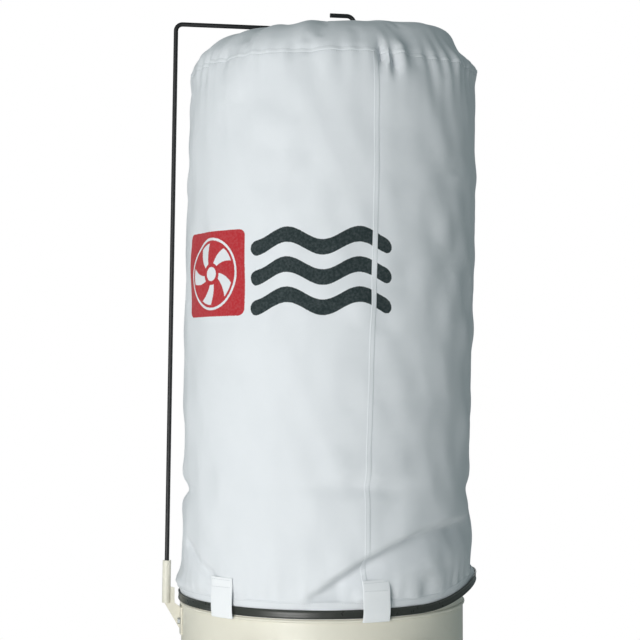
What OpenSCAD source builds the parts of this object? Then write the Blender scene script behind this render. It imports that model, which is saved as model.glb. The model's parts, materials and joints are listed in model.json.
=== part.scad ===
// Single-stage bag dust collector on a castered base.
// The blower draws chips in through a twin intake and blows them through a short hose into a steel drum.
// Air leaves through the hanging filter bag above the drum, and chips fall into the bag below it.
// Millimetres, +Z up, front towards -Y, origin on the floor under the middle of the base.

/* [Drum] */
// Outer diameter of the drum
drum_d = 508; // [506:1:509]
// Height of the drum's lower edge above the floor
drum_bottom = 640; // [636:1:644]
// Height of the drum's wall
drum_h = 280; // [278:1:284]
// Distance of the drum's axis from the middle of the base
drum_x = 220; // [218:1:224]

/* [Filter bag] */
// Height of the bag's top above the drum's upper bead
bag_h = 1019; // [990:1:1021]
// Radius of the filled bag
bag_r = 261; // [260:1:263]
// How far the top of the bag leans sideways
bag_lean = 19; // [0:1:20]
// Height that the loose stretch of the upper band rides up on the cuff
band_lift = 34; // [0:1:36]
// Distance that the loose stretch of the upper band stands off the drum
band_stand = 20; // [0:1:22]

/* [Hanger] */
// Diameter of the hanger rod
rod_d = 8; // [7:0.5:8]
// Distance of the rod from the drum's axis
rod_reach = 281; // [280:1:284]
// Direction of the rod's sleeve, seen from above
rod_angle = 187; // [184:1:190]
// Angle that the sleeve and the loaded rod lean towards the bag
rod_lean = 0.8; // [0:0.1:1.2]

/* [Base] */
// Length of the base plate
base_l = 1000; // [990:2:1040]
// Width of the base plate
base_w = 600; // [594:2:640]
// Height of the base plate's top above the floor
base_top = 103; // [103:1:104]
// Diameter of a caster wheel
wheel_d = 75; // [72:1:75]

/* [Blower and motor] */
// Distance of the shaft from the middle of the base
blower_x = -265; // [-268:1:-263]
// Height of the shaft above the floor
shaft_z = 330; // [329:1:332]
// Diameter of the impeller
impeller_d = 280; // [260:2:286]
// Number of impeller blades
blades = 8; // [6:1:10]
// Outer diameter of each hose port on the intake
port_d = 100; // [98:1:102]

/* [Hidden] */
$fn = 96;

cream = [0.86, 0.83, 0.72];
cloth = [0.87, 0.9, 0.92];
zinc = [0.75, 0.76, 0.78];
steel = [0.6, 0.61, 0.63];
black = [0.08, 0.08, 0.09];
motor_grey = [0.22, 0.23, 0.25];
copper = [0.72, 0.42, 0.25];
hose_grey = [0.3, 0.31, 0.32];

// Drum
drum_r = drum_d / 2;
drum_wall = 2;
drum_top = drum_bottom + drum_h;
bead_r = 3;
bead_inset = 30;
upper_bead = drum_top - bead_inset;
lower_bead = drum_bottom + bead_inset;
duct_y = -60;
duct_z = drum_bottom + 108;
duct_r = 62.5;

// Legs
leg_r = 300;
leg_angles = [63, 117, 243, 297];
leg_size = 25;
leg_pad_z = drum_bottom + 100;

// Cuffs, bands and latches
cuff_gap = 0.8;
cloth_t = 2.2;
band_in = drum_r + 3.4;
band_t = 1.6;
band_h = 15;
band_out = band_in + band_t;
upper_band_z = upper_bead + 12;
lower_band_z = lower_bead - 12;
ring_sides = 48;
loose_from = -50;
loose_to = 60;
upper_latch = 90;
lower_latch = 270;
pivot_angle = 6.5;
pivot_r = drum_r + 10;
eye_angle = 8.5;
eye_r = drum_r + 14;
catch_angle = 5.5;
hook_angle = 6.1;
catch_r = drum_r + 9.5;
bail_wire = 1.5;
bail_z = 9;
upper_loops = [-130, -70, 70, 130];
lower_loops = [-150, -30, 30, 150];
loop_half_angle = 5.3;

// Hanger
sleeve_z = upper_bead - 2;
sleeve_h = 75;
sleeve_r = 7.5;
arm_z = upper_bead + 1040;
rod_bend = 12;
hook_r = 14;
hook_past_axis = 45.5;
hook_tip = 31;

// Casters
caster_x = base_l / 2 - 75;
caster_y = base_w / 2 - 75;
trail = 28;
wheel_r = wheel_d / 2;
wheel_w = 28;
cheek_in = 16;
cheek_t = 3;
axle_r = 5;
brake_pin = [33, 82];
brake_pin_r = 2.5;
base_t = 3;
base_flange = 38;
caster_top = base_top - base_t;

// Blower, seen from the front: four arcs whose centres step round a small square
scroll_step = 14;
scroll_r = 155;
scroll_c = [4, -4];
scroll_left = scroll_c.x - scroll_step - scroll_r - 2 * scroll_step;
outlet_w = 112;
outlet_top = 185;
blower_depth = 110;
blower_back = -5;
sheet = 2.5;
flange_w = 15;
eye_hole_r = 73;
collar_r = 75;
outlet_x = blower_x + scroll_left + outlet_w / 2;
outlet_z = shaft_z + outlet_top;
spigot_z = outlet_z + 60;
hose_in = duct_r + 0.4;
hose_out = hose_in + 3;
hose_bend = 130;
hose_start = spigot_z + 15;
hose_end = drum_x - drum_r - 31;

// Motor, measured back from the blower's back plate
motor_y = blower_back + 3;
frame_r = 80;
frame_in = 76;
fin_h = 8;
shaft_r = 9.5;
run_gap = 0.06;
bell_end = 30;
frame_end = 200;
rear_end = 225;
cover_end = 288;
pedestal_top = shaft_z - 108;
pedestal_w = 190;
pedestal_y = [45, 235];
pedestal_foot = 130;
feet_y = [60, 200];
box_x = [-50, 50];
box_y = [70, 160];
box_z = shaft_z + 84;
box_h = 56;
start_xy = [-22, 115];
stop_xy = [20, 115];
gland_z = box_z + 26;

// ---------- helpers ----------

module at_drum() translate([drum_x, 0, 0]) children();
module round_drum(angles) at_drum() for (a = angles) rotate([0, 0, a]) children();
module in_blower() translate([blower_x, blower_back, shaft_z]) rotate([90, 0, 0]) children();
module in_motor() translate([blower_x, motor_y, shaft_z]) rotate([-90, 0, 0]) children();

module tube(r_out, r_in, h) difference() {
    cylinder(r = r_out, h = h);
    translate([0, 0, -1]) cylinder(r = r_in, h = h + 2);
}

module rounded_rect(w, d, r) {
    square([w - 2 * r, d], center = true);
    square([w, d - 2 * r], center = true);
    for (x = [-1, 1], y = [-1, 1]) translate([x * (w / 2 - r), y * (d / 2 - r)]) circle(r);
}

// A curved plate round the drum's axis, centred on +X
module drum_plate(r_in, r_out, half_angle, z, h) rotate([0, 0, -half_angle])
    translate([0, 0, z]) rotate_extrude(angle = 2 * half_angle)
        translate([r_in, 0]) square([r_out - r_in, h]);

// A hex-headed bolt along +Z whose head's seat is at z = 0, with its nut's seat at z = -grip
module bolt(r, grip, nut = true) {
    head = 1.3 * r;
    cylinder(r = 1.9 * r, h = head, $fn = 6);
    translate([0, 0, -grip - (nut ? 1.6 * r + 1.5 : 4)])
        cylinder(r = r, h = grip + (nut ? 1.6 * r + 1.5 : 4) + 0.5);
    if (nut) translate([0, 0, -grip - 1.6 * r]) cylinder(r = 1.9 * r, h = 1.6 * r, $fn = 6);
}

// ---------- base and casters ----------

corners = [[-1, -1], [1, -1], [-1, 1], [1, 1]];
plate_hole = [36, 23];
module at_caster(c) translate([c.x * caster_x, c.y * caster_y, 0]) children();
module at_plate_bolts() for (c = corners) at_caster(c)
    for (s = corners) translate([s.x * plate_hole.x, s.y * plate_hole.y, base_top]) children();
module at_foot_bolts() round_drum(leg_angles) for (y = [-19, 19]) translate([leg_r, y, base_top]) children();
module at_pedestal_bolts() for (x = [-1, 1], y = [20, pedestal_foot - 20])
    translate([blower_x + x * (pedestal_w / 2 + 16), pedestal_y[0] + y, base_top]) children();

module base_plate() color(cream) difference() {
    translate([0, 0, base_top - base_flange]) linear_extrude(base_flange) rounded_rect(base_l, base_w, 20);
    translate([0, 0, base_top - base_flange - 1]) linear_extrude(base_flange - base_t + 1)
        rounded_rect(base_l - 2 * base_t, base_w - 2 * base_t, 20 - base_t);
    at_plate_bolts() translate([0, 0, -10]) cylinder(r = 4.4, h = 20);
    at_foot_bolts() translate([0, 0, -10]) cylinder(r = 3.4, h = 20);
    at_pedestal_bolts() translate([0, 0, -10]) cylinder(r = 4.4, h = 20);
}

module caster_plates() color(zinc) for (c = corners) at_caster(c) difference() {
    union() {
        translate([0, 0, caster_top - 3]) linear_extrude(3) rounded_rect(90, 64, 6);
        translate([0, 0, 86.3]) cylinder(r = 24, h = caster_top - 3 - 86.3 + 0.5);
        translate([0, 0, 79.5]) cylinder(r = 6, h = 10);
        translate([0, 0, 76]) cylinder(r = 9, h = 3.7);
    }
    for (s = corners) translate([s.x * plate_hole.x, s.y * plate_hole.y, caster_top - 10])
        cylinder(r = 4.4, h = 20);
}

module caster_bolts() color(steel) at_plate_bolts() translate([0, 0, 0.1]) bolt(4, base_t + 3.2);

module caster_fork(c, brake) color(zinc) at_caster(c) {
    difference() {
        union() {
            translate([0, 0, 80]) cylinder(r = 27, h = 6);
            for (y = [-cheek_in - cheek_t, cheek_in]) translate([0, y + cheek_t, 0]) rotate([90, 0, 0])
                linear_extrude(cheek_t) {
                    polygon([[-18, 86], [40, 86], [40, 74], [39, 40], [17.2, 35]]);
                    translate([trail, wheel_r]) circle(11);
                }
        }
        cylinder(r = 6 + run_gap, h = 200);
        translate([trail, 30, wheel_r]) rotate([90, 0, 0]) cylinder(r = axle_r + 0.1, h = 60);
        if (brake) translate([brake_pin.x, 30, brake_pin.y]) rotate([90, 0, 0])
            cylinder(r = brake_pin_r + run_gap, h = 60);
    }
    color(steel) translate([trail, 0, wheel_r]) rotate([90, 0, 0]) {
        translate([0, 0, -22]) cylinder(r = axle_r, h = 44);
        for (z = [-cheek_in - cheek_t - 6.2, cheek_in + cheek_t + 0.2]) translate([0, 0, z])
            cylinder(r = 8.5, h = 6, $fn = 6);
    }
}

module caster_wheel(c) color(black) at_caster(c) translate([trail, 0, wheel_r]) rotate([90, 0, 0])
    rotate_extrude() polygon([
        [axle_r + run_gap, -15.5], [12, -15.5], [13, -wheel_w / 2 + 4], [27, -wheel_w / 2 + 4],
        [28, -wheel_w / 2], [wheel_r - 4, -wheel_w / 2], [wheel_r, -wheel_w / 2 + 5],
        [wheel_r, wheel_w / 2 - 5], [wheel_r - 4, wheel_w / 2], [28, wheel_w / 2],
        [27, wheel_w / 2 - 4], [13, wheel_w / 2 - 4], [12, 15.5], [axle_r + run_gap, 15.5]]);

module caster_brake(c) color(zinc) at_caster(c) translate([brake_pin.x, 0, brake_pin.y]) {
    rotate([90, 0, 0]) translate([0, 0, -cheek_in - cheek_t - 0.5])
        cylinder(r = brake_pin_r, h = 2 * (cheek_in + cheek_t + 0.5));
    rotate([90, 0, 0]) translate([0, 0, -13]) cylinder(r = 5, h = 26);
    translate([0, -13, 0]) cube([31, 26, 3]);
    translate([28, -13, 0]) cube([5, 26, 5]);
    translate([1, -9, -5.6]) cube([4, 18, 6]);
}

// ---------- drum and legs ----------

module drum() color(cream) at_drum() difference() {
    union() {
        rotate_extrude() {
            translate([drum_r - drum_wall, drum_bottom]) square([drum_wall, drum_h]);
            for (z = [lower_bead, upper_bead]) translate([drum_r, z]) circle(bead_r);
        }
        difference() {
            translate([-drum_r - 81, duct_y, duct_z]) rotate([0, 90, 0]) cylinder(r = duct_r, h = 120);
            translate([0, 0, drum_bottom]) cylinder(r = drum_r - 1, h = drum_h);
        }
    }
    translate([-drum_r - 82, duct_y, duct_z]) rotate([0, 90, 0]) cylinder(r = duct_r - 1.5, h = 150);
    drum_bolt_holes();
}

module drum_bolt_holes() {
    for (a = leg_angles) rotate([0, 0, a]) at_pad_bolts() cylinder(r = 3.3, h = 30, center = true);
    at_bracket_bolts() cylinder(r = 3.3, h = 30, center = true);
}

// The axis of each pad bolt points out of the drum
module at_pad_bolts() for (y = [-18, 18]) translate([sqrt(drum_r * drum_r - y * y) + 4, y, leg_pad_z + 40])
    rotate([0, 90, 0]) children();

module inlet_baffle() color(cream) at_drum() difference() {
    rotate([0, 0, 150]) translate([150, -100, drum_bottom + 20]) cube([2, 200, 200]);
    rotate([0, 0, 150]) translate([140, -60, drum_bottom + 10]) cube([20, 120, 40]);
}

module support_legs() color(cream) round_drum(leg_angles) difference() {
    union() {
        translate([leg_r - leg_size / 2, -leg_size / 2, base_top])
            cube([leg_size, leg_size, leg_pad_z + 100 - base_top]);
        translate([leg_r - 20, -26, base_top]) cube([40, 52, 4]);
        drum_plate(drum_r + 0.2, drum_r + 4, 6, leg_pad_z, 80);
        for (z = [leg_pad_z + 5, leg_pad_z + 71]) difference() {
            translate([drum_r - 10, -leg_size / 2, z]) cube([leg_r - drum_r, leg_size, 4]);
            translate([0, 0, z - 1]) cylinder(r = drum_r + 0.2, h = 6);
        }
    }
    translate([leg_r - leg_size / 2 + 2, -leg_size / 2 + 2, base_top + 4])
        cube([leg_size - 4, leg_size - 4, leg_pad_z + 94 - base_top]);
    for (y = [-19, 19]) translate([leg_r, y, base_top - 1]) cylinder(r = 3.4, h = 10);
    at_pad_bolts() cylinder(r = 3.3, h = 30, center = true);
}

module leg_bolts() color(steel) {
    at_foot_bolts() translate([0, 0, 4.1]) bolt(3, base_t + 4.2);
    round_drum(leg_angles) at_pad_bolts() translate([0, 0, 1.2]) bolt(3, 9.6);
}

// ---------- hanger ----------

module at_hanger() round_drum([rod_angle]) children();
bracket_bolt_y = 19;
module at_bracket_bolts() rotate([0, 0, rod_angle]) for (y = [-bracket_bolt_y, bracket_bolt_y])
    translate([sqrt(drum_r * drum_r - y * y) + 3, y, upper_bead - 32]) rotate([0, 90, 0]) children();

// Up the leaning sleeve from its foot
module in_sleeve() at_hanger() translate([rod_reach, 0, sleeve_z]) rotate([0, -rod_lean, 0]) children();
// Height up the sleeve of the set bolt that holds the rod, put in from the back
set_bolt_z = 50;

module hanger_bracket() color(cream) difference() {
    union() {
        at_hanger() drum_plate(drum_r + 0.2, drum_r + 3.2, 6, upper_bead - 56, 48);
        at_hanger() translate([0, 2, 0]) rotate([90, 0, 0]) linear_extrude(4) polygon([
            [drum_r + 2.6, upper_bead - 50], [rod_reach + 4, sleeve_z + 1], [rod_reach, sleeve_z + 30],
            [rod_reach - 15, sleeve_z + 26], [rod_reach - 15, sleeve_z - 1],
            [drum_r + 2.6, upper_bead - 10]]);
        in_sleeve() cylinder(r = sleeve_r, h = sleeve_h);
    }
    in_sleeve() translate([0, 0, 4]) cylinder(r = rod_d / 2 + 0.2, h = sleeve_h);
    in_sleeve() translate([0, 0, set_bolt_z]) rotate([90, 0, 0]) cylinder(r = 3.1, h = 20);
    at_drum() at_bracket_bolts() cylinder(r = 3.3, h = 30, center = true);
}

module hanger_bolts() color(steel) {
    at_drum() at_bracket_bolts() translate([0, 0, 1]) bolt(3, 8.6);
    in_sleeve() translate([0, 0, set_bolt_z]) rotate([90, 0, 0]) {
        translate([0, 0, rod_d / 2 + 0.1]) cylinder(r = 3, h = 8);
        translate([0, 0, sleeve_r + 1.5]) cylinder(r = 5.5, h = 4.5, $fn = 6);
    }
}

// Up out of the sleeve, over the top of the bag and back in a hook
arm_rise = arm_z - sleeve_z;
arm_run = rod_reach - arm_rise * sin(rod_lean) + hook_past_axis - rod_bend;
module hanger_rod() color(black) in_sleeve() {
    r = rod_d / 2;
    translate([0, 0, 4.2]) cylinder(r = r, h = arm_rise - rod_bend - 4.2);
    translate([-rod_bend, 0, arm_rise - rod_bend]) rotate([90, 0, 0]) rotate_extrude(angle = 90)
        translate([rod_bend, 0]) circle(r);
    translate([-rod_bend, 0, arm_rise]) rotate([0, -90, 0]) cylinder(r = r, h = arm_run);
    translate([-rod_bend - arm_run, 0, arm_rise + hook_r]) rotate([90, 0, 0]) rotate([0, 0, 90])
        rotate_extrude(angle = 180) translate([hook_r, 0]) circle(r);
    translate([-rod_bend - arm_run, 0, arm_rise + 2 * hook_r]) rotate([0, 90, 0])
        cylinder(r = r, h = hook_tip);
}

// ---------- filter bag ----------

function smooth(t) = let (u = min(1, max(0, t))) u * u * (3 - 2 * u);
// 0 where the band is level, 1 in the middle of its loose stretch; a is from -180 to 180
function loose(a) = a < loose_from || a > loose_to ? 0
    : 0.5 - 0.5 * cos(360 * (a - loose_from) / (loose_to - loose_from));
function signed(a) = a > 180 ? a - 360 : a;
function lean_at(z) = bag_lean * smooth((z - drum_top) / 800);

// One ring of the bag: radius r at height z, follow = how much of the loose stretch it takes on
function bag_ring(r, z, follow) = [for (i = [0:ring_sides - 1]) let (
    a = 360 * i / ring_sides,
    k = loose(signed(a)) * follow,
    rr = r + band_stand * k)
    [drum_x + lean_at(z) + rr * cos(a), rr * sin(a), z + band_lift * k]];

// The crown's section is a superellipse, full at the shoulder and nearly flat on top
crown_h = 175;
crown_side = 5.7;
crown_top = 3.06;
bag_top = upper_bead + bag_h;
crown_from = bag_top - crown_h;
cuff_in = drum_r + cuff_gap;
cuff_out = cuff_in + cloth_t;

// Radius, height and follow of each outer ring, from the cuff's edge to the middle of the top
bag_profile = concat(
    [[cuff_out, upper_bead + 3.6, 1], [cuff_out, upper_bead + 24, 1], [bag_r - 1, upper_bead + 55, 0.6],
        [bag_r + 1, upper_bead + 110, 0.2], [bag_r + 1, upper_bead + 300, 0], [bag_r, upper_bead + 600, 0]],
    [for (t = [0:12:84]) [bag_r * pow(cos(t), 2 / crown_side),
        crown_from + crown_h * pow(sin(t), 2 / crown_top), 0]],
    [[60, bag_top - 0.1, 0], [20, bag_top, 0]]);

module bag_shell(outer, inner) {
    n = ring_sides;
    rings = concat([for (p = outer) bag_ring(p[0], p[1], p[2])],
        [for (i = [len(inner) - 1:-1:0]) bag_ring(inner[i][0], inner[i][1], inner[i][2])]);
    count = len(rings);
    points = [for (ring = rings) each ring];
    sides = [for (k = [0:count - 1], i = [0:n - 1]) if (k != len(outer) - 1) let (
        k2 = (k + 1) % count,
        j = (i + 1) % n)
        [k * n + i, k2 * n + i, k2 * n + j, k * n + j]];
    last = len(outer) - 1;
    cap_out = [for (i = [n - 1:-1:0]) last * n + i];
    cap_in = [for (i = [0:n - 1]) (last + 1) * n + i];
    polyhedron(points, concat([for (f = sides) [f[0], f[1], f[2]]], [for (f = sides) [f[0], f[2], f[3]]],
        [cap_out, cap_in]));
}

module upper_bag() color(cloth) bag_shell(bag_profile, [for (p = bag_profile)
    [p[0] - cloth_t * (p[0] > 100 ? 1 : 0.5), p[1] - (p[1] > crown_from + 1 ? cloth_t : 0), p[2]]]);

loop_x = 24;
loop_w = 25;
module hang_loop() color(cloth) at_drum() rotate([0, 0, rod_angle - 180]) {
    arm_here = arm_z - (rod_reach - arm_rise * sin(rod_lean) + loop_x) * tan(rod_lean);
    foot = bag_top + 0.4;
    top = arm_here + rod_d / 2 + 0.5;
    difference() {
        translate([loop_x - loop_w / 2, -14, foot]) cube([loop_w, 28, top + 2 - foot]);
        translate([loop_x - loop_w, -12, foot + 2]) cube([2 * loop_w, 24, top - foot - 2]);
    }
}

// A strap that stands clear of the band, with one end sewn to the bag from z_sewn up
module belt_loop(r_sewn, z, h, z_sewn) {
    drum_plate(band_out + 3.2, band_out + 5.2, loop_half_angle, z, h);
    drum_plate(r_sewn, band_out + 4, loop_half_angle, z_sewn, 10);
}
module upper_belt_loops() color(cloth) round_drum(upper_loops)
    belt_loop(band_out + 2, upper_bead - 3, 66, upper_bead + 52);

// ---------- lower bag ----------

lower_bag_floor = 116;
lower_bag_r = bag_r - 2.2;
lower_bag_top = drum_bottom + 26;
function lower_profile(t) = concat(
    [[drum_r + 0.5 + t, lower_bag_top], [drum_r + 0.5 + t, drum_bottom - 2],
        [lower_bag_r + t, drum_bottom - 40], [lower_bag_r + t, lower_bag_floor + 90]],
    [for (a = [15:15:90]) [lower_bag_r - 90 + t + 90 * cos(a), lower_bag_floor + 92 - t - 90 * sin(a)]],
    [[0, lower_bag_floor + 2.2 - t]]);
module lower_bag() color(cloth) at_drum() rotate_extrude() polygon(concat(lower_profile(cloth_t),
    [for (i = [len(lower_profile(0)) - 1:-1:0]) lower_profile(0)[i]]));

module lower_belt_loops() color(cloth) round_drum(lower_loops)
    belt_loop(band_out + 1.4, lower_bead - 58, 62, lower_bead - 57);

// ---------- band clamps ----------

// The band's own section, level at height z except along its loose stretch
module loose_band(z, from, to) {
    inside = [for (i = [0:2 * ring_sides]) let (a = 360 * i / ring_sides) if (a > from && a < to) a];
    angles = concat([from], inside, [to]);
    section = [for (s = [[0, -1], [1, -1], [1, 1], [0, 1]]) [band_in + s[0] * band_t, s[1] * band_h / 2]];
    points = [for (a = angles, s = section) let (k = loose(signed(a % 360)), r = s[0] + band_stand * k)
        [r * cos(a), r * sin(a), z + s[1] + band_lift * k]];
    n = len(angles);
    quads = [for (i = [0:n - 2], j = [0:3]) let (j2 = (j + 1) % 4)
        [4 * i + j, 4 * i + j2, 4 * i + 4 + j2, 4 * i + 4 + j]];
    polyhedron(points, concat([for (q = quads) [q[0], q[1], q[2]]], [for (q = quads) [q[0], q[2], q[3]]],
        [[3, 2, 1, 0], [4 * n - 4, 4 * n - 3, 4 * n - 2, 4 * n - 1]]));
}

// Lever ears on one end of the band and the catch on the other, centred on +X at height z
module band_fittings(z) {
    rotate([0, 0, pivot_angle]) {
        for (s = [6.3, -7.3]) translate([band_out - 1, -4, z + s]) cube([pivot_r - band_out + 5, 8, 1]);
        translate([pivot_r, 0, z - 7]) cylinder(r = 2, h = 14);
    }
    rotate([0, 0, -catch_angle]) translate([band_out - 1, -1, z - 5]) cube([catch_r + 5 - band_out, 2, 10]);
}

band_gap = 4.5;
module upper_clamp_band() color(black) at_drum() {
    loose_band(upper_band_z, upper_latch + band_gap, upper_latch - band_gap + 360);
    rotate([0, 0, upper_latch]) band_fittings(upper_band_z);
}
module lower_clamp_band() color(black) at_drum() {
    rotate([0, 0, lower_latch + band_gap]) translate([0, 0, lower_band_z - band_h / 2])
        rotate_extrude(angle = 360 - 2 * band_gap) translate([band_in, 0]) square([band_t, band_h]);
    rotate([0, 0, lower_latch]) band_fittings(lower_band_z);
}

lever_sweep = 13;
module clamp_lever(latch, z) color(black) at_drum() rotate([0, 0, latch]) difference() {
    union() {
        rotate([0, 0, pivot_angle]) translate([pivot_r, 0, z - 6]) cylinder(r = 3.8, h = 12);
        rotate([0, 0, eye_angle]) translate([eye_r, 0, z - 6]) cylinder(r = 3.4, h = 12);
        rotate([0, 0, pivot_angle + lever_sweep / 2])
            drum_plate(pivot_r - 0.6, pivot_r + 1.4, lever_sweep / 2, z - 6, 12);
        rotate([0, 0, pivot_angle + lever_sweep]) translate([pivot_r + 1.4, 0, z - 6])
            cylinder(r = 2.2, h = 12);
    }
    rotate([0, 0, pivot_angle]) translate([pivot_r, 0, z - 8]) cylinder(r = 2 + run_gap, h = 16);
    rotate([0, 0, eye_angle]) translate([eye_r, 0, z - 8]) cylinder(r = bail_wire + run_gap, h = 16);
}

module clamp_bail(latch, z) color(zinc) at_drum() rotate([0, 0, latch]) {
    eye = eye_r * [cos(eye_angle), sin(eye_angle)];
    hook = catch_r * [cos(hook_angle), -sin(hook_angle)];
    reach = norm(hook - eye);
    turn = atan2(hook.y - eye.y, hook.x - eye.x);
    for (p = [eye, hook]) translate([p.x, p.y, z - bail_z - 1.5]) cylinder(r = bail_wire, h = 2 * bail_z + 3);
    for (s = [-1, 1]) translate([eye.x, eye.y, z + s * bail_z]) rotate([0, 0, turn]) rotate([0, 90, 0])
        cylinder(r = bail_wire - 0.2, h = reach);
}

// ---------- blower ----------

// Outline of the scroll, grown by e, with its outlet cut off at height top
module scroll(e, top = outlet_top) {
    c = scroll_c;
    s = scroll_step;
    translate(c) circle(scroll_r + e);
    intersection() {
        translate([c.x - s, c.y]) circle(scroll_r + s + e);
        translate([c.x - s, c.y - 400]) square([400, 400]);
    }
    intersection() {
        translate([c.x - s, c.y + s]) circle(scroll_r + 2 * s + e);
        translate([c.x - s - 400, c.y + s - 400]) square([400, 400]);
    }
    translate([scroll_left - e, c.y + s]) square([outlet_w + 2 * e, top - c.y - s]);
}

// Where the housing's flange is bolted to the back plate
flange_spots = concat(
    [for (a = [75, 35]) scroll_c + (scroll_r + 8) * [cos(a), sin(a)]],
    [for (a = [-5, -42, -80]) scroll_c - [scroll_step, 0] + (scroll_r + scroll_step + 8) * [cos(a), sin(a)]],
    [for (a = [-118, -156]) scroll_c + scroll_step * [-1, 1]
        + (scroll_r + 2 * scroll_step + 8) * [cos(a), sin(a)]],
    [for (y = [60, 150]) [scroll_left - 8, y]],
    [[scroll_left + outlet_w + 8, 150]]);
outlet_spots = [for (x = [-1, 1], y = [-1, 1]) [x * (outlet_w / 2 + 7), y * 40]];

module blower_housing() color(cream) in_blower() difference() {
    union() {
        linear_extrude(blower_depth) scroll(0);
        linear_extrude(3) scroll(flange_w);
        translate([0, 0, blower_depth - 1]) cylinder(r = collar_r, h = 36);
        translate([scroll_left - 14, outlet_top - 3, 0]) cube([outlet_w + 28, 3, blower_depth + 12]);
    }
    translate([0, 0, -1]) linear_extrude(blower_depth - sheet + 1) scroll(-sheet, outlet_top + 10);
    translate([0, 0, blower_depth - 10]) cylinder(r = eye_hole_r, h = 60);
    for (p = flange_spots) translate([p.x, p.y, -1]) cylinder(r = 3.3, h = 6);
    at_outlet_bolts() cylinder(r = 3.3, h = 20, center = true);
}

// Local axes of the blower: x right, y up, z forward
module at_outlet_bolts() for (p = outlet_spots)
    translate([scroll_left + outlet_w / 2 + p.x, outlet_top, blower_depth / 2 + p.y])
        rotate([-90, 0, 0]) children();

module blower_back_plate() color(cream) in_blower() difference() {
    translate([0, 0, -3]) linear_extrude(2.9) scroll(flange_w);
    translate([0, 0, -4]) cylinder(r = 12, h = 6);
    for (p = flange_spots) translate([p.x, p.y, -4]) cylinder(r = 3.3, h = 6);
}

module blower_bolts() color(steel) in_blower() {
    for (p = flange_spots) translate([p.x, p.y, 3.1]) bolt(3, 6.2);
    at_outlet_bolts() translate([0, 0, 3.2]) bolt(3, 6.4);
    for (a = [90, 210, 330]) rotate([0, 0, a]) translate([0, 77.6, blower_depth + 20]) rotate([-90, 0, 0])
        cylinder(r = 3.5, h = 2.5);
}

module outlet_adapter() color(cream) difference() {
    union() {
        translate([outlet_x - outlet_w / 2 - 14, blower_back - blower_depth - 12, outlet_z + 0.1])
            cube([outlet_w + 28, blower_depth + 12, 3]);
        hull() {
            translate([outlet_x - outlet_w / 2, blower_back - blower_depth + 0.5, outlet_z + 3])
                cube([outlet_w, blower_depth - 1, 0.1]);
            translate([outlet_x, duct_y, spigot_z]) cylinder(r = duct_r, h = 0.1, $fn = 32);
        }
        translate([outlet_x, duct_y, spigot_z]) cylinder(r = duct_r, h = 50);
    }
    hull() {
        translate([outlet_x - outlet_w / 2 + sheet, blower_back - blower_depth + sheet, outlet_z - 1])
            cube([outlet_w - 2 * sheet, blower_depth - 2 * sheet, 1]);
        translate([outlet_x, duct_y, spigot_z]) cylinder(r = duct_r - 2, h = 0.1, $fn = 32);
    }
    translate([outlet_x, duct_y, spigot_z - 1]) cylinder(r = duct_r - 2, h = 80);
    in_blower() at_outlet_bolts() cylinder(r = 3.3, h = 20, center = true);
}

module transfer_hose() color(hose_grey) {
    bend_z = duct_z - hose_bend;
    bend_x = outlet_x + hose_bend;
    translate([outlet_x, duct_y, hose_start]) tube(hose_out, hose_in, bend_z - hose_start);
    translate([bend_x, duct_y, bend_z]) rotate([90, 0, 0]) rotate([0, 0, 90]) rotate_extrude(angle = 90)
        translate([hose_bend, 0]) difference() {
            circle(hose_out);
            circle(hose_in);
        }
    translate([bend_x, duct_y, duct_z]) rotate([0, 90, 0]) tube(hose_out, hose_in, hose_end - bend_x);
}

module hose_clamp() {
    tube(hose_out + 1.5, hose_out + 0.3, 12);
    translate([hose_out + 0.8, -11, 0]) cube([9, 22, 12]);
    translate([hose_out + 6, -14, 6]) rotate([-90, 0, 0]) cylinder(r = 3.5, h = 32);
}
module hose_clamps() color(zinc) {
    translate([outlet_x, duct_y, hose_start + 8]) rotate([0, 0, 200]) hose_clamp();
    translate([hose_end - 8, duct_y, duct_z]) rotate([0, -90, 0]) rotate([0, 0, 250]) hose_clamp();
}

blade_l = impeller_d / 2 - 17;
module impeller() color(steel) in_blower() difference() {
    union() {
        translate([0, 0, 17]) cylinder(r = impeller_d / 2, h = 3);
        translate([0, 0, 12]) cylinder(r = 22, h = 42);
        for (i = [0:blades - 1]) rotate([0, 0, i * 360 / blades]) translate([16, 0, 0]) rotate([0, 0, 12])
            translate([0, 1.25, 0]) rotate([90, 0, 0]) linear_extrude(2.5)
                polygon([[0, 19], [blade_l, 19], [blade_l, 76], [60, 94], [30, 80], [0, 50]]);
    }
    translate([0, 0, -1]) cylinder(r = shaft_r + run_gap, h = 200);
}

module impeller_bolt() color(steel) in_blower() {
    translate([0, 0, 55.3]) cylinder(r = 17, h = 2.5);
    translate([0, 0, 57]) cylinder(r = 8.5, h = 6, $fn = 6);
    translate([0, 0, 34]) cylinder(r = 4, h = 24);
}

// ---------- intake ----------

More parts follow.
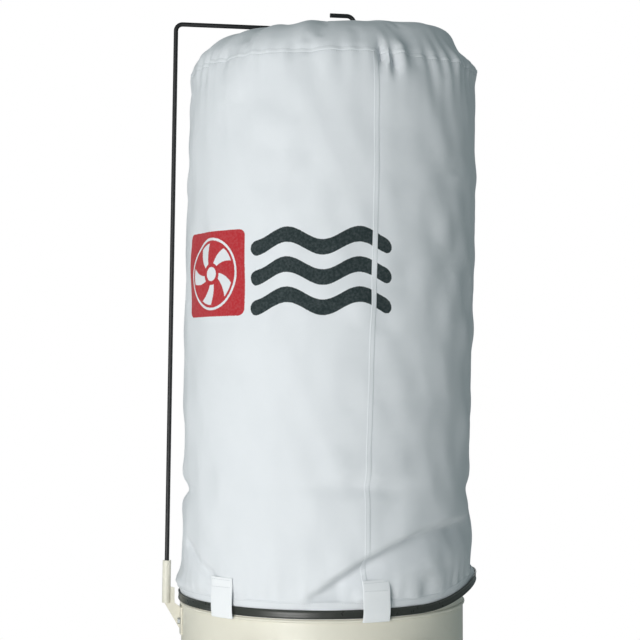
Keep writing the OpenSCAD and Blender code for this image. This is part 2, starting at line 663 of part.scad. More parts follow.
port_r = port_d / 2;
port_x = 60;
manifold_z = blower_depth + 35;
ports_z = blower_depth + 98;
port_len = 70;
module port_outline(r) {
    for (x = [-port_x, port_x]) translate([x, 0]) circle(r);
    square([2 * port_x, 2 * r], center = true);
}
module manifold(r_round, r_ports, z1, z2) hull() {
    translate([0, 0, z1]) cylinder(r = r_round, h = 0.1, $fn = 48);
    for (x = [-port_x, port_x]) translate([x, 0, z2]) cylinder(r = r_ports, h = 0.1, $fn = 32);
}
module twin_intake() color(cream) in_blower() difference() {
    union() {
        translate([0, 0, blower_depth + 2]) cylinder(r = collar_r + 2.4, h = manifold_z - blower_depth - 2);
        manifold(collar_r + 2.4, port_r + 2, manifold_z, ports_z);
        translate([0, 0, ports_z]) linear_extrude(3) port_outline(port_r + 2);
        for (x = [-port_x, port_x]) translate([x, 0, ports_z]) cylinder(r = port_r, h = port_len);
    }
    translate([0, 0, blower_depth - 1]) cylinder(r = collar_r + 0.2, h = manifold_z - blower_depth + 1);
    manifold(collar_r, port_r - 1, manifold_z - 0.1, ports_z - 0.1);
    for (x = [-port_x, port_x]) translate([x, 0, ports_z - 1]) cylinder(r = port_r - 2.2, h = port_len + 10);
}

module intake_cap() color(black) in_blower() translate([port_x, 0, ports_z + port_len - 30]) difference() {
    union() {
        cylinder(r = port_r + 3, h = 33);
        translate([-20, -2.5, 32]) cube([40, 5, 14]);
    }
    translate([0, 0, -1]) cylinder(r = port_r + 0.3, h = 31.4);
}

// ---------- motor ----------

module motor_pedestal() color(cream) difference() {
    translate([blower_x, 0, 0]) {
        w = pedestal_w;
        d = pedestal_y[1] - pedestal_y[0];
        translate([-w / 2, pedestal_y[0], pedestal_top - 4]) cube([w, d, 4]);
        for (x = [-w / 2, w / 2 - 4]) translate([x, pedestal_y[0], base_top])
            cube([4, d, pedestal_top - base_top]);
        for (x = [-w / 2 - 30, w / 2 - 1]) translate([x, pedestal_y[0], base_top])
            cube([31, pedestal_foot, 4]);
    }
    at_pedestal_bolts() translate([0, 0, -1]) cylinder(r = 4.4, h = 10);
    at_feet_bolts() translate([0, 0, -10]) cylinder(r = 4.4, h = 20);
}
module at_feet_bolts() for (x = [-74, 74], y = feet_y)
    translate([blower_x + x, y + (y < 100 ? 15 : -15), pedestal_top]) children();

module motor_feet() color(motor_grey) difference() {
    translate([blower_x, feet_y[0], pedestal_top]) for (m = [0, 1]) mirror([m, 0, 0]) {
        translate([44, 0, 0]) cube([44, feet_y[1] - feet_y[0], 6]);
        translate([48, 0, 0]) cube([7, feet_y[1] - feet_y[0], 60]);
    }
    in_motor() translate([0, 0, -1]) cylinder(r = frame_r + 0.2, h = 400);
    at_feet_bolts() translate([0, 0, -1]) cylinder(r = 4.4, h = 20);
}

module mount_bolts() color(steel) {
    at_pedestal_bolts() translate([0, 0, 4.1]) bolt(4, base_t + 4.2);
    at_feet_bolts() translate([0, 0, 6.1]) bolt(4, 10.2);
}

module motor_front_bell() color(motor_grey) in_motor() difference() {
    union() {
        cylinder(r = frame_r + 5, h = 10);
        cylinder(r = frame_r, h = bell_end);
    }
    translate([0, 0, -1]) cylinder(r = shaft_r + 1, h = 60);
    translate([0, 0, 8]) cylinder(r = 23.6, h = 30);
    translate([0, 0, 24]) cylinder(r = 70, h = 30);
}

// In the motor's own axes +Y points down, so an angle of 90 is the bottom of the frame
fin_gaps = [[40, 140], [190, 230], [240, 300]];
fin_angles = [for (a = [0:15:345]) if (len([for (g = fin_gaps) if (a > g[0] && a < g[1]) 1]) == 0) a];
module motor_frame() color(motor_grey) in_motor() translate([0, 0, bell_end]) {
    tube(frame_r, frame_in, frame_end - bell_end);
    for (a = fin_angles) rotate([0, 0, a]) translate([frame_r - 1, -1.5, 4])
        cube([fin_h + 1, 3, frame_end - bell_end - 8]);
}

module motor_rear_bell() color(motor_grey) in_motor() translate([0, 0, frame_end]) difference() {
    union() {
        cylinder(r = frame_r, h = rear_end - frame_end);
        translate([0, 0, 12]) cylinder(r = frame_r + 1.8, h = rear_end - frame_end - 12);
    }
    translate([0, 0, -1]) cylinder(r = shaft_r + 1, h = 60);
    translate([0, 0, -1]) cylinder(r = 23.6, h = 17);
    translate([0, 0, -1]) difference() {
        cylinder(r = 70, h = 8);
        cylinder(r = 32, h = 8);
    }
}

module bearings() color(zinc) in_motor() for (z = [8.2, frame_end + 2]) translate([0, 0, z])
    tube(23.5, shaft_r + run_gap, 13.6);

module stator() color(copper) in_motor() translate([0, 0, 50]) {
    translate([0, 0, 15]) tube(frame_in - 0.1, 47, 100);
    for (z = [0, 114]) translate([0, 0, z]) tube(68, 50, 16);
}

module rotor() color(steel) in_motor() difference() {
    union() {
        translate([0, 0, 65]) cylinder(r = 46.4, h = 100);
        for (z = [56, 164]) translate([0, 0, z]) cylinder(r = 40, h = 10);
    }
    cylinder(r = shaft_r + run_gap, h = 300);
}

module motor_shaft() color(steel) in_motor() difference() {
    translate([0, 0, -57]) cylinder(r = shaft_r, h = 57 + 256);
    translate([0, 0, -58]) cylinder(r = 4.2, h = 30);
}

module cooling_fan() color(black) in_motor() translate([0, 0, 232]) difference() {
    union() {
        cylinder(r = 15, h = 22);
        cylinder(r = 68, h = 2.5);
        for (a = [0:45:315]) rotate([0, 0, a]) translate([12, -1.25, 0]) cube([56, 2.5, 20]);
    }
    translate([0, 0, -1]) cylinder(r = shaft_r + run_gap, h = 60);
}

module fan_cover() color(motor_grey) in_motor() difference() {
    translate([0, 0, frame_end + 14]) cylinder(r = frame_r + 4, h = cover_end - frame_end - 14);
    translate([0, 0, frame_end]) cylinder(r = frame_r + 2, h = cover_end - frame_end - 2);
    for (r = [20:12:68]) let (n = round(2 * PI * r / 16)) for (i = [0:n - 1])
        rotate([0, 0, 360 * i / n]) translate([r, 0, cover_end - 6]) cylinder(r = 4, h = 12, $fn = 24);
}

module switch_box() color(black) {
    difference() {
        translate([blower_x + box_x[0], box_y[0], shaft_z + 60])
            cube([box_x[1] - box_x[0], box_y[1] - box_y[0], 24 + box_h]);
        translate([blower_x + box_x[0] + 3, box_y[0] + 3, box_z])
            cube([box_x[1] - box_x[0] - 6, box_y[1] - box_y[0] - 6, box_h - 3]);
        in_motor() cylinder(r = frame_r + 0.2, h = 400);
        for (x = [-1, 1]) translate([blower_x + x * 65 - 30, box_y[0] - 1, shaft_z + 50]) cube([60, 200, 34]);
        translate([blower_x + start_xy.x, start_xy.y, box_z]) cylinder(r = 10.4, h = 100);
        translate([blower_x + stop_xy.x, stop_xy.y, box_z]) cylinder(r = 8.4, h = 100);
        translate([blower_x, box_y[1] - 10, gland_z]) rotate([-90, 0, 0]) cylinder(r = 8.2, h = 30);
    }
}

module start_button() color([0.1, 0.5, 0.2]) translate([blower_x + start_xy.x, start_xy.y, 0]) {
    translate([0, 0, box_z + box_h - 10]) cylinder(r = 10, h = 15);
    translate([0, 0, box_z + box_h - 7]) cylinder(r = 13, h = 3);
}

module stop_button() color([0.75, 0.08, 0.08]) translate([blower_x + stop_xy.x, stop_xy.y, 0]) {
    translate([0, 0, box_z + box_h - 12]) cylinder(r = 8, h = 20);
    translate([0, 0, box_z + box_h - 7]) cylinder(r = 11, h = 3);
    translate([0, 0, box_z + box_h + 7]) cylinder(r = 18, h = 6);
    translate([0, 0, box_z + box_h + 13]) cylinder(r1 = 18, r2 = 12, h = 4);
}

module cord_gland() color(black) translate([blower_x, box_y[1], gland_z]) rotate([-90, 0, 0])
    difference() {
        union() {
            translate([0, 0, -8]) cylinder(r = 8, h = 12);
            translate([0, 0, -8]) cylinder(r = 11, h = 4.8);
            translate([0, 0, 0.2]) cylinder(r = 11, h = 5, $fn = 6);
            translate([0, 0, 5]) cylinder(r = 9.5, h = 13);
        }
        translate([0, 0, -10]) cylinder(r = 4.5, h = 40);
    }

cap_turn = 210;
cap_off = 115;
module at_capacitor() in_motor() rotate([0, 0, cap_turn]) translate([cap_off, 0, 0]) children();
module capacitor() color(zinc) at_capacitor() translate([0, 0, 64]) cylinder(r = 22, h = 92);
module capacitor_cover() color(motor_grey) difference() {
    union() {
        at_capacitor() translate([0, 0, 55]) cylinder(r = 27, h = 110);
        at_capacitor() translate([-30, -14, 75]) cube([20, 28, 70]);
    }
    at_capacitor() translate([0, 0, 58]) cylinder(r = 24.5, h = 104);
    in_motor() cylinder(r = frame_r + 0.2, h = 400);
}

// ---------- what is drawn ----------

base_plate();
caster_plates();
caster_bolts();
caster_fork(corners[0], true);  // caster_fork_fl
caster_fork(corners[1], true);  // caster_fork_fr
caster_fork(corners[2], false);  // caster_fork_rl
caster_fork(corners[3], false);  // caster_fork_rr
caster_wheel(corners[0]);  // caster_wheel_fl
caster_wheel(corners[1]);  // caster_wheel_fr
caster_wheel(corners[2]);  // caster_wheel_rl
caster_wheel(corners[3]);  // caster_wheel_rr
caster_brake(corners[0]);  // caster_brake_fl
caster_brake(corners[1]);  // caster_brake_fr
support_legs();
leg_bolts();
drum();
inlet_baffle();
hanger_bracket();
hanger_bolts();
hanger_rod();
upper_bag();
hang_loop();
upper_belt_loops();
upper_clamp_band();
clamp_lever(upper_latch, upper_band_z);  // upper_clamp_lever
clamp_bail(upper_latch, upper_band_z);  // upper_clamp_bail
lower_bag();
lower_belt_loops();
lower_clamp_band();
clamp_lever(lower_latch, lower_band_z);  // lower_clamp_lever
clamp_bail(lower_latch, lower_band_z);  // lower_clamp_bail
blower_housing();
blower_back_plate();
blower_bolts();
impeller();
impeller_bolt();
outlet_adapter();
transfer_hose();
hose_clamps();
twin_intake();
intake_cap();
motor_pedestal();
motor_feet();
mount_bolts();
motor_front_bell();
motor_frame();
motor_rear_bell();
stator();
rotor();
motor_shaft();
bearings();
cooling_fan();
fan_cover();
switch_box();
start_button();
stop_button();
cord_gland();
capacitor();
capacitor_cover();
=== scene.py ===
"""Looks of the bag dust collector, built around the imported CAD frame. Metres, +Z up, front towards -Y."""

import json
import math

import bmesh
import bpy
import numpy as np
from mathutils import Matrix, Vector


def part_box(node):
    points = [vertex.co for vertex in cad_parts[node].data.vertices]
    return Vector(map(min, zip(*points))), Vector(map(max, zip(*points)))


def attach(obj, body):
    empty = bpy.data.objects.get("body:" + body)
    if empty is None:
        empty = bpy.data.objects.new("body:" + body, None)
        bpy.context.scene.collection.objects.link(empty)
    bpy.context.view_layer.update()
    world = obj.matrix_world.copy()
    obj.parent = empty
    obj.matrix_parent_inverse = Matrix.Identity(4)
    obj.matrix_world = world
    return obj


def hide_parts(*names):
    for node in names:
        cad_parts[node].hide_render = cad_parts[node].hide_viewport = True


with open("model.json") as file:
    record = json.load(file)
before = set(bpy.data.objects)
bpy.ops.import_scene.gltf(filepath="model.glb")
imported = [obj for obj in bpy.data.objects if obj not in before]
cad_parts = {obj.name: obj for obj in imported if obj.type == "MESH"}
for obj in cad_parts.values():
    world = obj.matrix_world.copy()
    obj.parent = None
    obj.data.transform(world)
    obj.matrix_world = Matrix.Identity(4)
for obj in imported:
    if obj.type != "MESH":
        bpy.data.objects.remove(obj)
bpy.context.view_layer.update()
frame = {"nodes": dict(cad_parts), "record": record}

# ---------- places and sizes, worked out from the frame ----------

SCENE = bpy.context.scene
MM = 0.001
BEAD_STAND = 3 * MM
BEAD_INSET = 30 * MM
BAND_OFF_BEAD = 12 * MM
drum_lo, drum_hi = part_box("drum")
BEAD_R = (drum_hi.y - drum_lo.y) / 2
DRUM_R = BEAD_R - BEAD_STAND
AXIS = Vector((drum_hi.x - BEAD_R, 0, 0))
UPPER_BEAD = drum_hi.z - BEAD_INSET
LOWER_BEAD = drum_lo.z + BEAD_INSET
band_lo, band_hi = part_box("lower_clamp_band")
BAND_IN = DRUM_R + 3.4 * MM
BAND_T = 1.6 * MM
BAND_H = band_hi.z - band_lo.z
UPPER_BAND_Z = UPPER_BEAD + BAND_OFF_BEAD
LOWER_BAND_Z = LOWER_BEAD - BAND_OFF_BEAD
BAG_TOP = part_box("upper_bag")[1].z
BAG_R = 261 * MM
BAG_LEAN = 19 * MM
LOOSE_FROM, LOOSE_TO = -50, 60
BAND_STAND = 20 * MM
BAND_LIFT = 34 * MM
SIDE_SEAM = -74
UPPER_LOOPS = (-130, -70, 70, 130)
LOWER_LOOPS = (-150, -30, 30, 150)
LOOP_W = 48 * MM
UPPER_LATCH, LOWER_LATCH = 90, 270
# Degrees from the latch to the band's ends, the lever's pivot and the catch
BAND_GAP, PIVOT_ANGLE, CATCH_ANGLE = 4.5, 6.5, 5.5
PIVOT_R = 0.264
LOOP_TURN = math.radians(7)

# The print's middle, and its parts in metres round the bag from there
PRINT_AZIMUTH, PRINT_HEIGHT, PRINT_LEAN = -113, 578 * MM, 14.5 * MM
PRINT_H = 0.146
PANEL_AT, PANEL_W = -0.128, 0.160
WAVES_AT, WAVES_W = 0.086, 0.244
WAVE_LENGTH, WAVE_RISE, WAVE_GAP, WAVE_THICK = 0.122, 0.011, 0.050, 0.026
FAN_BLADES, FAN_SWEEP = 5.0, 55.0
HUB_R, BLADE_MIDDLE, BLADE_HALF, RIM_R, RIM_HALF = 0.012, 0.036, 0.017, 0.060, 0.0022
RED_INK, DARK_INK = (0.46, 0.014, 0.022), (0.008, 0.020, 0.022)


def smooth(t):
    t = np.clip(t, 0, 1)
    return t * t * (3 - 2 * t)


def loose(a):
    """0 where the upper band is level, 1 in the middle of its loose stretch; a in degrees."""
    a = (np.asarray(a, float) + 180) % 360 - 180
    inside = (a > LOOSE_FROM) & (a < LOOSE_TO)
    wave = 0.5 - 0.5 * np.cos(2 * np.pi * (a - LOOSE_FROM) / (LOOSE_TO - LOOSE_FROM))
    return np.where(inside, wave, 0.0)


def lean_at(z):
    return BAG_LEAN * smooth((z - drum_hi.z) / 0.8)


# ---------- camera and lights ----------

SENSOR_MM, LENS_MM = 36, 84.375
CAMERA_DISTANCE = 2.733
CAMERA_ASIDE = 0.003644
EYE_ABOVE_BEAD = 0.417
PITCH = math.atan(0.032)
AIM_HEIGHT = 1.3


def add_camera():
    data = bpy.data.cameras.new("camera")
    data.sensor_width = SENSOR_MM
    data.lens = LENS_MM
    data.clip_end = 100
    camera = bpy.data.objects.new("camera", data)
    SCENE.collection.objects.link(camera)
    camera.location = (AXIS.x - CAMERA_ASIDE, -CAMERA_DISTANCE, UPPER_BEAD + EYE_ABOVE_BEAD)
    camera.rotation_euler = (math.pi / 2 + PITCH, 0, 0)
    SCENE.camera = camera


def add_area_light(name, azimuth, elevation, distance, size, power, color):
    """A softbox aimed at the bag, at an azimuth where -90 is the front and 180 the left."""
    target = AXIS + Vector((0, 0, AIM_HEIGHT))
    a, e = math.radians(azimuth), math.radians(elevation)
    away = Vector((math.cos(a) * math.cos(e), math.sin(a) * math.cos(e), math.sin(e)))
    data = bpy.data.lights.new(name, "AREA")
    data.shape = "RECTANGLE"
    data.size, data.size_y = size
    data.energy = power
    data.color = color
    light = bpy.data.objects.new(name, data)
    SCENE.collection.objects.link(light)
    light.location = target + away * distance
    light.rotation_euler = (-away).to_track_quat("-Z", "Y").to_euler()


def add_world():
    """White to the camera, a dim cool fill to everything else."""
    world = bpy.data.worlds.new("studio")
    world.use_nodes = True
    nodes, links = world.node_tree.nodes, world.node_tree.links
    nodes.clear()
    out = nodes.new("ShaderNodeOutputWorld")
    mix = nodes.new("ShaderNodeMixShader")
    path = nodes.new("ShaderNodeLightPath")
    fill = nodes.new("ShaderNodeBackground")
    seen = nodes.new("ShaderNodeBackground")
    fill.inputs["Color"].default_value = (0.80, 0.97, 0.985, 1)
    fill.inputs["Strength"].default_value = 0.26
    seen.inputs["Color"].default_value = (1, 1, 1, 1)
    seen.inputs["Strength"].default_value = 1.0
    links.new(path.outputs["Is Camera Ray"], mix.inputs["Fac"])
    links.new(fill.outputs[0], mix.inputs[1])
    links.new(seen.outputs[0], mix.inputs[2])
    links.new(mix.outputs[0], out.inputs["Surface"])
    SCENE.world = world


add_camera()
add_world()
SCENE.view_settings.view_transform = "Standard"
add_area_light("key", -114, -5, 3.4, (1.5, 2.2), 78, (1.0, 0.99, 0.975))
add_area_light("side", -178, 8, 3.0, (1.2, 2.4), 10, (0.97, 1.0, 1.0))
add_area_light("back", 90, 22, 4.0, (2.4, 2.4), 42, (0.98, 1.0, 1.0))

# ---------- materials ----------


class Shader:
    """A Principled material with short calls for the nodes that drive it."""

    def __init__(self, name):
        self.material = bpy.data.materials.new(name)
        self.material.use_nodes = True
        self.tree = self.material.node_tree
        self.bsdf = self.tree.nodes["Principled BSDF"]
        self.coords = self.node("ShaderNodeTexCoord").outputs["Object"]

    def node(self, kind, **sockets):
        made = self.tree.nodes.new(kind)
        for socket, value in sockets.items():
            self.put(made.inputs[socket.replace("_", " ")], value)
        return made

    def put(self, socket, value):
        if isinstance(value, bpy.types.NodeSocket):
            self.tree.links.new(value, socket)
        else:
            socket.default_value = value

    def noise(self, scale, detail=3.0, rough=0.55, coords=None):
        made = self.node("ShaderNodeTexNoise", Scale=scale, Detail=detail, Roughness=rough)
        self.put(made.inputs["Vector"], coords or self.coords)
        return made.outputs["Fac"]

    def scaled(self, x, y, z):
        made = self.node("ShaderNodeMapping")
        made.inputs["Scale"].default_value = (x, y, z)
        self.put(made.inputs["Vector"], self.coords)
        return made.outputs["Vector"]

    def math(self, op, a, b=0.0):
        made = self.node("ShaderNodeMath")
        made.operation = op
        self.put(made.inputs[0], a)
        self.put(made.inputs[1], b)
        return made.outputs[0]

    def ramp(self, value, low, high, out_low=0.0, out_high=1.0):
        made = self.node("ShaderNodeMapRange")
        for socket, v in zip(made.inputs, (value, low, high, out_low, out_high)):
            self.put(socket, v)
        return made.outputs[0]

    def mix(self, factor, a, b):
        made = self.node("ShaderNodeMix")
        made.data_type = "RGBA"
        self.put(made.inputs["Factor"], factor)
        self.put(made.inputs["A"], a)
        self.put(made.inputs["B"], b)
        return next(s for s in made.outputs if s.type == "RGBA")

    def bump(self, height, strength, distance, normal=None):
        made = self.node("ShaderNodeBump")
        made.inputs["Strength"].default_value = strength
        made.inputs["Distance"].default_value = distance
        self.put(made.inputs["Height"], height)
        if normal is not None:
            self.put(made.inputs["Normal"], normal)
        return made.outputs["Normal"]

    def finish(self, **sockets):
        for socket, value in sockets.items():
            self.put(self.bsdf.inputs[socket.replace("_", " ")], value)
        return self.material


def rgba(r, g, b):
    return (r, g, b, 1.0)


def painted(name, color, rough=0.38, peel=0.18, dirt=(0.35, 0.3, 0.22)):
    """Powder coat or enamel: orange peel, faint mottling, dust that dulls it in places."""
    s = Shader(name)
    patches = s.noise(5.0, 5.0)
    mottle = s.noise(60.0, 4.0)
    dark = tuple(c * 0.9 for c in color)
    base = s.mix(s.ramp(patches, 0.35, 0.7), rgba(*dark), rgba(*color))
    dust = s.math("MULTIPLY", s.ramp(mottle, 0.55, 0.8, 0.0, 0.16), s.ramp(patches, 0.5, 0.75))
    base = s.mix(dust, base, rgba(*dirt))
    normal = s.bump(s.noise(420.0, 2.0), peel, 0.0006)
    roughness = s.ramp(mottle, 0.3, 0.75, rough - 0.05, rough + 0.14)
    return s.finish(Base_Color=base, Roughness=roughness, Normal=normal)


def plated(name, color, rough=0.3):
    """Zinc plate or machined steel: metallic, with fine brushing and a cloudy tone."""
    s = Shader(name)
    cloud = s.noise(45.0, 5.0)
    brush = s.noise(30.0, 3.0, coords=s.scaled(6.0, 6.0, 90.0))
    base = s.mix(s.ramp(cloud, 0.35, 0.7), rgba(*(c * 0.8 for c in color)), rgba(*color))
    normal = s.bump(brush, 0.08, 0.0004)
    roughness = s.ramp(cloud, 0.3, 0.7, rough, rough + 0.2)
    return s.finish(Base_Color=base, Metallic=1.0, Roughness=roughness, Normal=normal)


def moulded(name, color, rough=0.5, grain=900.0, depth=0.0003):
    """Moulded plastic or rubber with a fine grain."""
    s = Shader(name)
    tone = s.noise(12.0, 4.0)
    base = s.mix(s.ramp(tone, 0.3, 0.75), rgba(*(c * 0.75 for c in color)), rgba(*color))
    normal = s.bump(s.noise(grain, 2.0), 0.25, depth)
    roughness = s.ramp(tone, 0.3, 0.8, rough - 0.06, rough + 0.1)
    return s.finish(Base_Color=base, Roughness=roughness, Normal=normal)


def overprint(s, base):
    """A made-up mark in two inks on the bag's front: a fan on a red panel, and three waves of air."""
    x, y, z = s.node("ShaderNodeSeparateXYZ", Vector=s.coords).outputs
    turn = s.math("ARCTAN2", y, s.math("SUBTRACT", x, AXIS.x + PRINT_LEAN))
    u = s.math("MULTIPLY", s.math("SUBTRACT", turn, math.radians(PRINT_AZIMUTH)), BAG_R)
    v = s.math("SUBTRACT", z, UPPER_BEAD + PRINT_HEIGHT)
    rough_edge = s.ramp(s.noise(700.0, 2.0), 0.3, 0.7, -0.0005, 0.0005)

    def inked(distance):
        """1 where the signed distance in metres is below zero."""
        return s.ramp(s.math("ADD", distance, rough_edge), 0.0003, -0.0003)

    def length(a, b):
        return s.math("SQRT", s.math("ADD", s.math("MULTIPLY", a, a), s.math("MULTIPLY", b, b)))

    def panel(a, b, width, height, corner):
        past = [s.math("MAXIMUM", s.math("SUBTRACT", s.math("ABSOLUTE", c), half / 2 - corner), 0.0)
                for c, half in ((a, width), (b, height))]
        return s.math("SUBTRACT", length(*past), corner)

    across = s.math("SUBTRACT", u, PANEL_AT)
    red = inked(panel(across, v, PANEL_W, PRINT_H, 0.012))
    reach = length(across, v)
    turned = s.math("MULTIPLY", s.math("ARCTAN2", v, across), FAN_BLADES)
    swirl = s.math("ADD", turned, s.math("MULTIPLY", reach, FAN_SWEEP))
    blade = s.math("MULTIPLY", s.math("SUBTRACT", 0.25, s.math("COSINE", swirl)), 0.006)
    off_middle = s.math("ABSOLUTE", s.math("SUBTRACT", reach, BLADE_MIDDLE))
    blade = s.math("MAXIMUM", blade, s.math("SUBTRACT", off_middle, BLADE_HALF))
    hub = s.math("SUBTRACT", reach, HUB_R)
    rim = s.math("SUBTRACT", s.math("ABSOLUTE", s.math("SUBTRACT", reach, RIM_R)), RIM_HALF)
    white = inked(s.math("MINIMUM", s.math("MINIMUM", blade, hub), rim))
    red = s.math("MULTIPLY", red, s.math("SUBTRACT", 1.0, white))
    wave = s.math("MULTIPLY", s.math("SINE", s.math("MULTIPLY", u, 2 * math.pi / WAVE_LENGTH)), WAVE_RISE)
    dark = None
    for level in (-WAVE_GAP, 0.0, WAVE_GAP):
        off = s.math("SUBTRACT", s.math("SUBTRACT", v, wave), level)
        line = panel(s.math("SUBTRACT", u, WAVES_AT), off, WAVES_W, WAVE_THICK, WAVE_THICK / 2)
        dark = line if dark is None else s.math("MINIMUM", dark, line)
    wear = s.ramp(s.noise(240.0, 3.0), 0.25, 0.6, 0.95, 1.0)
    base = s.mix(s.math("MULTIPLY", red, wear), base, rgba(*RED_INK))
    return s.mix(s.math("MULTIPLY", inked(dark), wear), base, rgba(*DARK_INK))


# Metres between the bands of a wave texture at scale 1
WAVE_PERIOD = 0.314


def woven(name, color, pitch, depth=0.0003, dirt=0.12, ink=None):
    """Cloth with a fine weave and soft uneven tone."""
    s = Shader(name)
    threads = []
    for axis in ((1, 1, 0), (0, 0, 1)):
        wave = s.node("ShaderNodeTexWave", Scale=WAVE_PERIOD / pitch, Distortion=1.5, Detail=2.0)
        wave.inputs["Detail Scale"].default_value = 3.0
        wave.bands_direction = "DIAGONAL" if axis[0] else "Z"
        s.put(wave.inputs["Vector"], s.coords)
        threads.append(wave.outputs["Fac"])
    weave = s.math("MULTIPLY", threads[0], threads[1])
    fuzz = s.noise(1600.0, 3.0)
    cloud = s.noise(7.0, 5.0)
    base = s.mix(s.ramp(cloud, 0.35, 0.7, 0.0, dirt), rgba(*color), rgba(*(c * 0.78 for c in color)))
    base = s.mix(s.ramp(fuzz, 0.3, 0.75, 0.0, 0.12), base, rgba(*(c * 0.7 for c in color)))
    if ink:
        base = ink(s, base)
    height = s.math("ADD", s.math("MULTIPLY", weave, 0.5), s.math("MULTIPLY", fuzz, 0.8))
    normal = s.bump(height, 0.35, depth)
    s.bsdf.inputs["Sheen Weight"].default_value = 0.12
    return s.finish(Base_Color=base, Roughness=0.88, Normal=normal)


CREAM = painted("cream_paint", (0.80, 0.765, 0.66), 0.36)
BLACK_ENAMEL = painted("black_enamel", (0.007, 0.007, 0.008), 0.46, 0.12, (0.03, 0.03, 0.03))
BAND_ENAMEL = painted("band_enamel", (0.030, 0.033, 0.028), 0.30, 0.1, (0.16, 0.15, 0.12))
MOTOR_PAINT = painted("motor_paint", (0.055, 0.058, 0.062), 0.42, 0.35, (0.2, 0.17, 0.12))
ZINC = plated("zinc", (0.70, 0.72, 0.74), 0.28)
STEEL = plated("steel", (0.55, 0.56, 0.58), 0.24)
COPPER = plated("copper", (0.72, 0.38, 0.2), 0.35)
TYRE = moulded("tyre_rubber", (0.028, 0.028, 0.03), 0.62, 700.0, 0.0005)
BLACK_PLASTIC = moulded("black_plastic", (0.02, 0.02, 0.022), 0.46)
RED_PLASTIC = moulded("red_plastic", (0.55, 0.02, 0.02), 0.3)
GREEN_PLASTIC = moulded("green_plastic", (0.02, 0.26, 0.08), 0.3)
HOSE_WALL = moulded("hose_wall", (0.17, 0.175, 0.18), 0.42, 500.0, 0.0004)
FELT = woven("filter_felt", (0.765, 0.784, 0.815), 0.0012)
PRINTED_FELT = woven("printed_felt", (0.765, 0.784, 0.815), 0.0012, ink=overprint)
THREAD = woven("sewing_thread", (0.62, 0.65, 0.67), 0.0004, 0.0001)
WEBBING = woven("bag_webbing", (0.86, 0.872, 0.895), 0.0016, 0.0005, 0.06)
LOWER_CLOTH = woven("lower_bag_cloth", (0.70, 0.73, 0.745), 0.0012, 0.0003, 0.3)

BY_SLOT = {
    "cream_paint": CREAM,
    "filter_felt": FELT,
    "bag_webbing": WEBBING,
    "lower_bag_cloth": LOWER_CLOTH,
    "black_rod": BLACK_ENAMEL,
    "clamp_band": BAND_ENAMEL,
    "zinc": ZINC,
    "steel": STEEL,
    "tyre_rubber": TYRE,
    "motor_paint": MOTOR_PAINT,
    "copper": COPPER,
    "hose": HOSE_WALL,
    "black_plastic": BLACK_PLASTIC,
    "green_plastic": GREEN_PLASTIC,
    "red_plastic": RED_PLASTIC,
}


def dress(obj, material):
    obj.data.materials.clear()
    obj.data.materials.append(material)


SLOT_OF = {s["node"]: s["material_slot"] for s in frame["record"]["subparts"]}
for node_name, node_object in frame["nodes"].items():
    dress(node_object, BY_SLOT[SLOT_OF[node_name]])

# ---------- mesh building ----------


def add_piece(name, verts, faces, material, replaces=(), sharp=40):
    """A smooth-shaded mesh piece that rides on the machine."""
    data = bpy.data.meshes.new(name)
    data.from_pydata([tuple(v) for v in verts], [], [tuple(f) for f in faces])
    data.validate()
    data.polygons.foreach_set("use_smooth", [True] * len(data.polygons))
    data.set_sharp_from_angle(angle=math.radians(sharp))
    obj = bpy.data.objects.new(name, data)
    SCENE.collection.objects.link(obj)
    dress(obj, material)
    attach(obj, "machine")
    if replaces:
        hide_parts(*replaces)
    return obj


def ring_faces(rows, columns, first=0):
    """Quads between successive rings of points, wound so that they face away from the rings' axis."""
    i, j = np.meshgrid(np.arange(rows - 1), np.arange(columns), indexing="ij")
    k = (j + 1) % columns
    quads = np.stack([i * columns + j, i * columns + k, (i + 1) * columns + k, (i + 1) * columns + j], -1)
    return (quads.reshape(-1, 4) + first).tolist()


def unit(v):
    v = np.asarray(v, float)
    return v / np.maximum(np.linalg.norm(v, axis=-1, keepdims=True), 1e-12)


